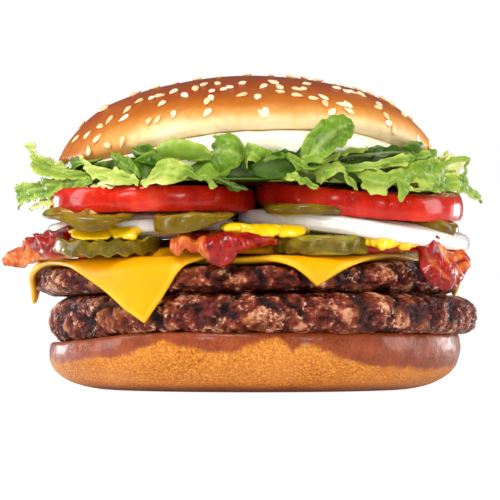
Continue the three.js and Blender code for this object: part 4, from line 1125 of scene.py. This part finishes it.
lift = 2.6 * np.exp(-((azm - 15) / 38) ** 4) - 2.2 * np.exp(-((azm + 68) / 34) ** 2)
top = crown_under(X, Y) - 0.1 + lift * smooth(34, 46, np.hypot(X - CX, Y)) + 0.6 * smooth(0.93, 0.985, f)[:, None] * np.exp(-((azm - 8) / 44) ** 4) * (0.6 + noise(np.stack([X, Y, 0 * X], -1), 6, 12))
bot = crown_under(X, Y) - 2.2 - (0.9 + np.maximum(drip, -0.4)) * smooth(0.86, 0.97, f)[:, None] + 0.35 * noise(np.stack([X, Y, 0 * X], -1), 9, 8)
Z = bot + (top - bot) * hh[:, None]
R = np.stack([X, Y, Z], -1)
wheel("mayonnaise_layer", R, MAYO, {}, slot="mayonnaise", stands_for=["mayonnaise"])

# ------------------------------------------------------------------ lettuce
LETTUCE_R = 57.5


def turn_bell(th, at, w):
    d = th - math.radians(at)
    return np.exp(-(np.arctan2(np.sin(d), np.cos(d)) / w) ** 2)


def tomato_top(x, y):
    z = 0 * x
    for node, (tx, ty, tz, tr) in TOMATOES.items():
        sx, sy, droop, seed = SLOPES[node]
        d = np.hypot(x - tx, y - ty)
        t = tz + sx * (x - tx) + sy * (y - ty) + 3.2 - droop * np.maximum(0, np.hypot(x - UX, y) - 38) ** 2
        z = np.maximum(z, t - 3.4 * smooth(tr - 1, tr + 8, d))
    return z


def heap_top(x, y):
    rho = np.hypot(x - CX, y)
    inner = crown_under(x, y) - 3.3
    out = plane(x, y) - 1.2
    return inner + (out - inner) * smooth(47.6, 52, rho) - 3.4 * smooth(56, 66, rho)


# the inside of the heap, smaller than its outline, coloured near-black green as painted shade in the gaps between the
# leaves
n = 300
th = np.arange(n) / n * TAU
rr = 49.0 + 1.6 * np.sin(7 * th + 0.6) + 1.2 * np.sin(12 * th + 2.1)
rr = rr - 3.5 * turn_bell(th, 270, 0.7)
f = np.concatenate([np.linspace(0.1, 0.96, 16), [0.99, 1.0, 0.99], np.linspace(0.96, 0.1, 16)])
hh = np.concatenate([np.zeros(16), [0.15, 0.5, 0.85], np.ones(16)])
X, Y = f[:, None] * rr * np.cos(th), f[:, None] * rr * np.sin(th)
top, bot = heap_top(X, Y) - 1.0, tomato_top(X, Y) + 0.35
bot = np.minimum(bot, top - 1.2)
clear = np.min([np.hypot(X - t[0], Y - t[1]) - t[3] for t in TOMATOES.values()], 0)
bot = np.where((clear > 0.8) & (np.hypot(X, Y) < 33) & (Y > -13), np.minimum(bot, 46.2), bot)
R = np.stack([X, Y, bot + (top - bot) * hh[:, None]], -1)
R = R + ring_normals(R) * (0.9 * smooth(0.3, 0.9, f)[:, None] * np.ones_like(X) * noise(R, 5, 3))[..., None]
wheel("lettuce_core_painted_shade", R, CORE, {"tint": 0.9 + 0 * X, "vein": 0 * X}, slot="lettuce", stands_for=["lettuce"])

# Each leaf of the front: its top edge and its lower edge from left to right, how green it is from pale 0 to dark 1, how far it cups, how much it ruffles.
LEAVES = [
    ([(-59.9, -16, 64.9), (-57.6, -18, 64.5), (-54.6, -22, 61), (-50.5, -27, 58.7), (-45.3, -34, 56.6), (-41, -40, 54.6)],
     [(-59.6, -16, 64.4), (-58.4, -17, 63), (-57.9, -22, 59.7), (-56.1, -28, 56.9), (-50.8, -35, 54.3), (-41.1, -42, 54)], 0.3, 0.9, 0.5),
    ([(-62.7, -14, 54), (-57.9, -20, 54.6), (-52.4, -28, 54.8), (-46.6, -36, 54.7), (-40.9, -42, 54.5)],
     [(-61.3, -17, 47.2), (-59.7, -20, 49.1), (-53.3, -30, 50), (-46, -38, 51.2), (-41, -43, 52.4)], 0.42, 1.4, 0.4),
    ([(-58.8, -18, 47.9), (-55.4, -24, 49.4), (-52.3, -29, 50.1), (-48.3, -34, 50.5), (-41.6, -42, 51.7)],
     [(-59.1, -18, 47.4), (-55.8, -25, 47.7), (-51.6, -31, 47.4), (-48.7, -35, 48.6), (-42.1, -42, 50.7)], 0.16, 0.5, 0.5),
    ([(-42.1, -42, 51.5), (-40, -43, 52.4), (-37.4, -45, 52.5), (-35, -47, 51.6)],
     [(-42.1, -42, 50.7), (-39.7, -44, 51.1), (-37.3, -46, 51.4), (-35.3, -47, 51.1)], 0.05, 0.4, 0.3),
    ([(-44.9, -36, 60.1), (-41.8, -40, 57.9), (-38.5, -43, 56.4), (-33.8, -46, 55.9), (-30.7, -48, 54.5), (-28.4, -49, 53)],
     [(-44.6, -36, 59), (-41.9, -41, 55.6), (-40, -44, 53.6), (-35.8, -47, 52.1), (-31.7, -48, 51.8), (-28.4, -49, 51.7)], 0.24, 0.9, 0.5),
    ([(-35.8, -42, 60), (-33.5, -44, 59.9), (-31.1, -46, 58.2), (-29.2, -48, 56), (-28.4, -49, 54)],
     [(-35.8, -42, 59), (-34.5, -44, 56.9), (-32.3, -46, 55.2), (-30.2, -48, 53.5), (-28.9, -49, 53)], 0.42, 1, 0.4),
    ([(-30.8, -43, 61.5), (-28.7, -45, 61.8), (-25.9, -46, 61.7), (-24.4, -46, 60.5), (-23.3, -46, 58.2)],
     [(-30.5, -43, 60.5), (-29.1, -45, 58.3), (-27.1, -46, 56.9), (-24.8, -46, 57.4), (-23.6, -46, 57.7)], 0.62, -2, 0.5),
    ([(-28.4, -49, 52), (-26.7, -50, 54.1), (-24.4, -50, 56.9), (-21.7, -50, 58.1), (-19, -50, 58.1), (-16.2, -51, 56.3), (-14.2, -52, 54), (-11.7, -53, 53.7), (-10.2, -53, 52.2), (-9, -53, 51.2)],
     [(-28.2, -49, 51.7), (-25.4, -51, 51.6), (-21.9, -52, 51.8), (-18.9, -52, 51.8), (-17.7, -52, 52.7), (-16.2, -52, 54), (-14.2, -53, 52.7), (-12.2, -53, 52.4), (-11.2, -53, 50.9), (-9.7, -53, 50.7)], 0.22, 1, 0.5),
    ([(-12.6, -46, 60.7), (-10.8, -48, 63.5), (-7.8, -50, 64.3), (-4.8, -51, 63.7), (-2.8, -51, 61.3), (-2.8, -51, 58.8)],
     [(-12.1, -47, 55.6), (-10.8, -49, 54.2), (-8.3, -51, 53.8), (-5.8, -52, 55), (-4.1, -52, 56.7), (-3.1, -52, 57.9)], 0.44, 2.4, 0.5),
    ([(-10.8, -48, 54), (-7.8, -50, 53.4), (-4.8, -51, 52.1), (-1.8, -51, 50.6)],
     [(-10.8, -48, 53.3), (-7.8, -50, 51.6), (-4.8, -51, 50.3), (-2.1, -51, 50.3)], 0.78, 0.5, 0.2),
    ([(-4.8, -48, 60.5), (-2.3, -50, 62.6), (0.6, -52, 60.9), (3.1, -52, 59.9), (5.6, -51, 59.8), (7.6, -50, 58.9)],
     [(-4.6, -48, 56.8), (-2.6, -50, 54.9), (-1.6, -52, 57.5), (1.6, -52, 56), (4.6, -52, 57.7), (7.1, -50, 58.4)], 0.3, 1, 1),
    ([(5.4, -48, 60.5), (8.1, -50, 59.4), (10.5, -51, 58.5), (12.5, -51, 56.5), (13.5, -51, 54.6)],
     [(5.1, -48, 59), (7.6, -50, 57.9), (9.5, -51, 56.3), (11.5, -51, 54.8), (13.3, -51, 54.3)], 0.34, 0.8, 0.7),
    ([(10.6, -48, 59.5), (11.8, -50, 62.3), (14, -52, 65.4), (16.4, -53, 67.5), (19.6, -54, 68.4), (22.9, -53, 68.3), (24.4, -52, 66.1)],
     [(11.1, -50, 57.1), (14.9, -53, 56.9), (17.8, -55, 58.4), (20.3, -56, 60.1), (22.5, -56, 62), (23.8, -54, 63.7), (24.4, -52, 65.4)], 0.36, 2, 0.4),
    ([(14.3, -50, 57.6), (18, -50, 58.9), (22.3, -49, 60.4), (27.5, -48, 61)],
     [(14.5, -50, 56.9), (18.5, -50, 57.6), (22.8, -49, 59.4), (27.5, -48, 60.3)], 0.26, 0.3, 0.3),
    ([(18.7, -44, 58.9), (23.7, -46, 60.5), (28.6, -47, 61.1), (34.2, -46, 61.7), (39.3, -44, 60.9)],
     [(18.9, -45, 57.5), (23.6, -47, 57.1), (29, -48, 57), (34.6, -47, 58.1), (39.7, -45, 59.3)], 0.92, 1.2, 0.3),
    ([(19, -50, 57.6), (22.4, -51, 57), (27.4, -51, 56.8), (32.4, -50, 58.4), (37.6, -47, 59.4), (41.4, -43, 60.5), (44.6, -38, 61.7)],
     [(19.5, -50, 56.4), (22.9, -51, 55.3), (28.4, -51, 55.3), (33.9, -50, 56.1), (39.1, -47, 57.1), (42.9, -43, 58.5), (45.3, -38, 60.4)], 0.3, 0.8, 0.4),
    ([(14.3, -49, 56.7), (16.5, -51, 56.8), (18.9, -52, 56.7), (20.9, -52, 56.5), (23.4, -51, 53.8), (25.2, -50, 50.9)],
     [(15.3, -50, 51.9), (16.7, -52, 52.2), (18.4, -53, 53.7), (20.4, -53, 54.6), (22.6, -52, 52), (24.4, -50, 50.9)], 0.22, 1.2, 1.2),
    ([(24.5, -49, 55), (27.4, -51, 55.3), (30.8, -52, 54.7), (33.8, -52, 55.7), (36.3, -51, 55.3), (38.6, -50, 54.9)],
     [(26.4, -51, 51.3), (28.7, -53, 49.5), (31.7, -53, 49.7), (34.2, -53, 51.7), (35.6, -53, 47.7), (36.9, -52, 49.3)], 0.26, 1.6, 1.6),
    ([(36, -48, 56.5), (40.1, -47, 57.4), (43.8, -44, 58.9), (47.2, -39, 58), (48.5, -36, 55)],
     [(35.4, -50, 53.4), (38.8, -50, 52.4), (42, -47, 51.1), (45.4, -43, 50.6), (48.3, -38, 51.2)], 0.34, 1.6, 1.4),
    ([(46.7, -34, 57.7), (48.2, -34, 59.2), (50.8, -33, 60.1), (53.2, -32, 60.1), (54.4, -31, 59.5), (54.2, -30, 57), (53.9, -30, 54.4)],
     [(47.8, -35, 56.1), (48.6, -35, 57.6), (50.7, -34, 58.4), (52.4, -33, 58.8), (53, -32, 57.8), (52.5, -32, 55.3), (51.9, -32, 52.7)], 0.34, 0.5, 0.3),
    ([(46.9, -37, 54.9), (50.2, -34, 55.6), (53.2, -30, 55.4), (55.1, -26, 53.6), (58.5, -20, 49.9)],
     [(47.1, -38, 51.2), (50, -36, 51.4), (53, -31, 51.2), (55.2, -27, 50.5), (58.3, -20, 48.8)], 0.26, 1, 0.8),
    ([(36.2, -52, 50.3), (40.3, -50, 50.9), (44.6, -46, 51.2), (48.3, -41, 51.5)],
     [(36.7, -52, 49.8), (40.3, -50, 50.2), (44.6, -46, 50.2), (48.1, -41, 50.8)], 0.3, 0.3, 0.3),
    ([(5.1, -50, 55.1), (8.1, -51, 54.6), (11.5, -52, 53.5), (15.5, -52, 51.3)],
     [(5.3, -50, 54.1), (8.1, -51, 52.8), (11.7, -52, 51.8), (15.2, -52, 50.8)], 0.24, 0.5, 0.8),
    ([(-24.5, -43, 60.5), (-20.9, -45, 59.8), (-16.8, -46, 59.5), (-12.3, -46, 59.2)],
     [(-24, -43, 58.5), (-20.4, -45, 56.8), (-16.3, -46, 55.2), (-12.3, -46, 55.2)], 0.95, 0.6, 0.3),
]

shown = Heap()


def leaf_sheet(heap, top_edge, low_edge, tint, cup, ruffle, seed, nu=58, nv=24, thick=0.45, rough=1.0, reach=None):
    A, B = catmull(top_edge, nu), catmull(low_edge, nu)
    v = np.linspace(0, 1, nv)
    P = A[:, None] * (1 - v)[:, None] + B[:, None] * v[:, None]
    U, V = np.meshgrid(np.linspace(0, 1, nu), v, indexing="ij")
    outward = P.mean((0, 1)) * [1, 1, 0] - [CX, 0, 0]
    outward /= max(np.linalg.norm(outward), 1e-6)
    side = np.cross(outward, [0, 0, 1])
    edge = (2 * V - 1) ** 2
    P = P + outward * (cup * (1 - edge) * np.sin(math.pi * np.clip(U, 0.03, 0.97)) ** 0.5)[..., None]
    Q = P + np.array([seed * 7.3, seed * 3.1, 0])
    out = ruffle * (noise(Q, 5.5, 1) * (0.45 + 0.55 * edge) + 0.5 * noise(Q, 2.6, 2) * edge)
    out = out + rough * (1.5 * np.abs(noise(Q * [1, 1, 1.4], 5.5, 5)) + 0.7 * np.abs(noise(Q, 2.4, 9)) - 0.35)
    P = P + outward * out[..., None]
    P = P + np.array([0, 0, 1.0]) * ((0.35 * ruffle * noise(Q, 2.4, 4) + 0.9 * noise(Q * [1, 1, 0.2], 1.7, 14) * edge) * edge)[..., None] + side * (0.35 * ruffle * noise(Q, 2.6, 6) * edge)[..., None]
    if reach is not None:
        P = reach(P)
    vein_v = 0.5 + 0.10 * np.sin(U * 5 + seed)
    rib = gauss(V - vein_v, 0.075) * (1 - 0.5 * U)
    twig = smooth(0.90, 1.0, ridged(np.stack([U * 22 - np.abs(V - vein_v) * 16, V * 4, 0 * U + seed], -1), 2.6, seed))
    vein = np.clip(0.9 * rib + 0.5 * twig, 0, 1)
    P = P + outward * (0.16 * vein)[..., None]
    t = tint + 0.14 * noise(Q, 7, 8) - 0.16 * edge + 0.10 * (U - 0.5)
    V3, faces, e = sheet_points(P, thick * (0.65 + 0.35 * (1 - edge)) + 0.0, 0.3)

    def put(a):
        return np.concatenate([a.ravel(), a.ravel(), a.ravel()[e]])
    heap.add(V3, faces, None, tint=put(np.clip(t, 0, 1)), vein=put(vein))


for s, (a, b, tint, cup, ruf) in enumerate(LEAVES):
    leaf_sheet(shown, a, b, min(tint + (0.02 if np.mean(np.array(a)[:, 0]) < -35 else 0.16), 0.95) if tint > 0.1 else tint, cup * 0.4, ruf * 1.25, s + 1, rough=1.7)
shown.make("lettuce_leaves", LETTUCE, slot="lettuce")

# shreds all round the heap: curled ribbons, each rooted inside it
shreds = Heap()
rnd = np.random.RandomState(77)


def shred(heap, azi, seed, length, width, tilt, lift, tint, rho0, z0, thick=0.5, nu=20, nv=6, free=False):
    """A curled ribbon lying roughly along the rim at heading azi, in radians."""
    k = np.linspace(-0.5, 0.5, nu)
    bow = rnd.uniform(1.0, 5.0)
    a = azi + k * length / rho0
    rho = rho0 + bow * (0.25 - k * k * 2.0) + rnd.uniform(-1, 1) * k * 3 + 0.8 * np.sin(k * rnd.uniform(5, 12) + seed)
    z = z0 + lift * k * length * 0.35 + 1.1 * np.sin(k * rnd.uniform(4, 10) + seed * 1.7)
    c = np.stack([CX * 0.4 + rho * np.cos(a), rho * np.sin(a), z], 1)
    tang = np.gradient(c, axis=0)
    tang /= np.linalg.norm(tang, axis=1, keepdims=True)
    radial = np.stack([np.cos(a), np.sin(a), 0 * a], 1)
    up = np.cross(tang, radial)
    up *= np.sign(up[:, 2:3].mean() or 1)
    roll = tilt + rnd.uniform(-1.2, 1.2) * k
    w = width * np.sin(math.pi * np.clip(k + 0.5, 0.04, 0.96)) ** 0.5
    acr = up * np.cos(roll)[:, None] + radial * np.sin(roll)[:, None]
    nor = np.cross(tang, acr)
    v = np.linspace(-1, 1, nv)
    cup = rnd.uniform(-0.9, 0.9)
    P = c[:, None] + acr[:, None] * (v[:, None] * w[:, None, None] / 2) + nor[:, None] * (cup * (v * v)[:, None] * (w / 4)[:, None, None])
    Q = P + seed * 3.7
    V = v * np.ones((nu, 1))
    P = P + nor[:, None] * (0.7 * noise(Q, 4, 2) + 0.5 * noise(Q, 2.2, 3) * V * V)[..., None]
    # keep it off the tomato and under the bun
    rho = np.hypot(P[..., 0] - CX, P[..., 1])
    ceil = np.where(rho < 51.0, crown_under(P[..., 0], P[..., 1]) - 3.0, plane(P[..., 0], P[..., 1]) + 1.2)
    if free:
        P[..., 2] = np.clip(P[..., 2], 45.6, ceil)
    else:
        P[..., 2] = np.clip(P[..., 2], tomato_top(P[..., 0], P[..., 1]) + 0.3, np.maximum(ceil, tomato_top(P[..., 0], P[..., 1]) + 0.9))
    t = np.clip(tint + 0.12 * noise(Q, 6, 8) - 0.15 * V * V, 0, 1)
    V3, faces, e = sheet_points(P, thick, 0.3)

    def put(x):
        return np.concatenate([x.ravel(), x.ravel(), x.ravel()[e]])
    heap.add(V3, faces, None, tint=put(t), vein=put(gauss(V, 0.16) * 0.8))


# the gaps between the tomato slices at the sides and the back
for s in range(40):
    azi = (math.radians(12) if s % 2 else math.radians(168)) + rnd.uniform(-0.30, 0.24) * (1 if s % 2 else -1)
    rho0 = rnd.uniform(32, 44)
    shred(shreds, azi, 500 + s, rnd.uniform(10, 20), rnd.uniform(3.5, 6.5), rnd.uniform(-0.7, 0.7), rnd.uniform(-0.5, 0.5), rnd.uniform(0.25, 0.8), rho0, rnd.uniform(47.2, 54.5), free=True)
count = 120
for s in range(count):
    azi = (s + rnd.uniform(0, 1)) / count * TAU * 3
    frontness = math.exp(-(math.atan2(math.sin(azi + math.pi / 2), math.cos(azi + math.pi / 2)) / 0.75) ** 2)
    rho0 = rnd.uniform(48.5, 55.0) - 4.5 * frontness
    x0, y0 = rho0 * math.cos(azi), rho0 * math.sin(azi)
    low = float(tomato_top(np.array(x0), np.array(y0)))
    low = max(low, 48.0 if rho0 > 50 else low)
    high = float(plane(x0, y0)) - 1.0
    z0 = low + (high - low) * rnd.uniform(0.05, 0.95)
    # Shreds at the front sit further in, under the front leaves, and their extra darkness there is painted shade.
    shred(shreds, azi, s, rnd.uniform(14, 30), rnd.uniform(4.0, 8.5), rnd.uniform(-0.9, 0.9), rnd.uniform(-0.35, 0.35),
          rnd.choice([0.12, 0.28, 0.42, 0.58, 0.74], p=[0.16, 0.26, 0.26, 0.20, 0.12]) + 0.35 * frontness, rho0, z0)
shreds.make("lettuce_shreds", LETTUCE, slot="lettuce")

# ------------------------------------------------------------------ sesame
SEEDS = [
    (-15.1, -35.2), (-12.9, -32.5), (-9.8, -33), (-3.4, -34.8), (-20.6, -32.9), (4.8, -34.2), (2.2, -38.1), (6.5, -38), (6.5, -41.6), (13.3, -31), (11.9,
    -36.6), (10.3, -38), (20.8, -29.4), (-11, -39.3), (-8.2, -38.8), (-6.4, -37.8), (-18.1, -37.8), (-24.4, -32.7), (-26.8, -31.8), (-29.4, -30.2),
    (-23.2, -37.9), (-32.9, -31.5), (-33.6, -34), (-37.2, -29), (-39.8, -28), (-43.7, -24.7), (-40.6, -31.4), (-26.8, -41.6), (-24.2, -43.2), (-20.4,
    -44.3), (-12.1, -44.6), (-10.7, -43.5), (-3.4, -43.8), (0.7, -44.9), (-12.1, -48), (2.6, -49), (1.9, -49.5), (10.2, -42.7), (15, -42.6), (17.1,
    -40.4), (17.8, -43.1), (21.6, -40.8), (23.7, -39.9), (23.1, -41.9), (19.2, -44.4), (23.4, -29.4), (24.7, -28.6), (27.1, -27), (31.5, -28), (31.3,
    -31.3), (33.5, -32.3), (34.2, -33.9), (35.5, -33), (42.1, -23.1), (46.1, -13.1), (-42.7, -30.5), (-37.7, -36.1), (-33.7, -39.6)
]
rnd = np.random.RandomState(5)
spots = list(SEEDS)
tries = 0
while len(spots) < 190 and tries < 9000:
    tries += 1
    rho, a = 48.0 * math.sqrt(rnd.uniform(0, 1)), rnd.uniform(0, TAU)
    x, y = CX + rho * math.cos(a), rho * math.sin(a)
    if y < -18 and rho > 22:
        continue
    if min((x - p[0]) ** 2 + (y - p[1]) ** 2 for p in spots) < 3.4**2:
        continue
    if rho > 42 and rnd.uniform() < 0.5:
        continue
    spots.append((x, y))
sesame = Heap()
upper = np.argwhere(np.broadcast_to(prof[:, 1:], CROWN_P.shape[:2]) > EQUATOR - 0.5)
UP, UN = CROWN_P[upper[:, 0], upper[:, 1]], CROWN_N[upper[:, 0], upper[:, 1]]
for s, (x, y) in enumerate(spots):
    near = np.argmin((UP[:, 0] - x) ** 2 + (UP[:, 1] - y) ** 2)
    c, nv = UP[near], UN[near]
    turn = rnd.uniform(0, TAU)
    t1 = np.cross(nv, [math.cos(turn), math.sin(turn), 0.3])
    t1 /= np.linalg.norm(t1)
    t2 = np.cross(nv, t1)
    nv2 = nv + t1 * rnd.uniform(-0.16, 0.16)
    nv2 /= np.linalg.norm(nv2)
    t1 = np.cross(t2, nv2)
    length, width, hgt = rnd.uniform(2.9, 3.5), rnd.uniform(1.8, 2.15), rnd.uniform(0.95, 1.2)
    u = np.linspace(0.02, 0.98, 13)
    prof_w = np.sin(math.pi * u**0.72) ** 0.75 * (1 - 0.25 * u)
    b = np.arange(14) / 14 * TAU
    along = (u - 0.45) * length
    ring = (c + nv * hgt * 0.24 + t1[None, None] * along[:, None, None]
            + t2[None, None] * (prof_w[:, None] * np.cos(b) * width / 2)[..., None]
            + nv2[None, None] * (prof_w[:, None] * np.sin(b) * hgt / 2)[..., None])
    V = np.concatenate([ring[0].mean(0)[None], ring.reshape(-1, 3), ring[-1].mean(0)[None]])
    q, tr = wheel_faces(13, 14)
    if np.dot(np.cross(V[tr[0][1]] - V[tr[0][0]], V[tr[0][2]] - V[tr[0][0]]), V[0] - ring.reshape(-1, 3).mean(0)) < 0:
        q, tr = q[:, ::-1], tr[:, ::-1]
    tip = np.concatenate([[0.0], np.repeat(smooth(0.80, 1.0, u), 14), [1.0]])
    sesame.add(V, q, tr, tone=rnd.uniform(0.25, 1.0), tip=tip)
sesame.make("sesame_seeds", SESAME, slot="sesame")

# water on the tomato skins
WATER = Nodes("water_drops", Roughness=0.03, IOR=1.33, Transmission_Weight=1.0, Specular_IOR_Level=0.5)
WATER.to("Base Color", WATER.ramp(WATER.noise(2, 2), [(0.0, (0.98, 0.98, 0.98, 1)), (1.0, (1, 1, 1, 1))]))
drops.make("water_drops", WATER.m, slot="tomato")

# ------------------------------------------------------------------ stage, light, camera
FLOOR = Nodes("pale_floor", Roughness=0.55, Specular_IOR_Level=0.2)
FLOOR.to("Base Color", FLOOR.ramp(FLOOR.noise(400, 2), [(0.0, (0.90, 0.90, 0.90, 1)), (1.0, (0.92, 0.92, 0.92, 1))]))
FLOOR.b.inputs["Emission Color"].default_value = (1, 1, 1, 1)
seen = FLOOR.t.nodes.new("ShaderNodeLightPath")
FLOOR.to("Emission Strength", FLOOR.math("MULTIPLY_ADD", seen.outputs["Is Camera Ray"], 0.80, 0.08))
s = 3000.0
build("floor", [(-s, -s, -0.05), (s, -s, -0.05), (s, s, -0.05), (-s, s, -0.05)], [(0, 1, 2, 3)], None, FLOOR.m, stage=True)

scene = bpy.context.scene
world = bpy.data.worlds.new("studio")
scene.world = world
world.use_nodes = True
wt = world.node_tree
bg = wt.nodes["Background"]
bg.inputs["Color"].default_value = (1, 1, 1, 1)
bg.inputs["Strength"].default_value = 0.18
bright = wt.nodes.new("ShaderNodeBackground")
bright.inputs["Color"].default_value = (1, 1, 1, 1)
bright.inputs["Strength"].default_value = 1.0
path = wt.nodes.new("ShaderNodeLightPath")
both = wt.nodes.new("ShaderNodeMixShader")
wt.links.new(path.outputs["Is Camera Ray"], both.inputs[0])
wt.links.new(bg.outputs[0], both.inputs[1])
wt.links.new(bright.outputs[0], both.inputs[2])
wt.links.new(both.outputs[0], wt.nodes["World Output"].inputs["Surface"])


def softbox(name, at, aim, w, h, watts, color=(1, 1, 1)):
    d = bpy.data.lights.new(name, "AREA")
    d.shape, d.size, d.size_y, d.energy, d.color = "RECTANGLE", w, h, watts, color
    o = bpy.data.objects.new(name, d)
    scene.collection.objects.link(o)
    o.location = at
    o.rotation_mode = "QUATERNION"
    o.rotation_quaternion = (Vector(aim) - Vector(at)).to_track_quat("-Z", "Y")
    return o


mid = (0, 0, 0.045)
softbox("key_top", (-0.16, -0.50, 0.62), mid, 0.30, 0.22, 3.6)
softbox("left_box", (-0.55, -0.06, 0.20), mid, 0.22, 0.50, 2.2)
softbox("right_box", (0.55, -0.06, 0.20), mid, 0.22, 0.50, 2.2)
softbox("front_fill", (0.05, -1.1, 0.10), mid, 0.6, 0.35, 3.4).visible_glossy = False
softbox("kick_left", (-0.30, -0.62, 0.26), mid, 0.12, 0.12, 0.6)
softbox("kick_right", (0.34, -0.60, 0.22), mid, 0.12, 0.12, 0.5)
softbox("rim_left", (-0.46, 0.40, 0.06), (-0.05, 0, 0.01), 0.16, 0.16, 1.0)
softbox("rim_right", (0.46, 0.40, 0.06), (0.05, 0, 0.01), 0.16, 0.16, 1.0)

cam = bpy.data.cameras.new("camera")
cam.lens, cam.sensor_width = 160, 36
cam.clip_start, cam.clip_end = 0.01, 20
co = bpy.data.objects.new("camera", cam)
scene.collection.objects.link(co)
co.location = (-0.00135, -0.6, 0.012)
co.rotation_mode = "QUATERNION"
co.rotation_quaternion = (Vector((-0.00135, 0, 0.03765)) - co.location).to_track_quat("-Z", "Y")
scene.camera = co
scene.view_settings.view_transform = "Standard"
scene.view_settings.look = "None"
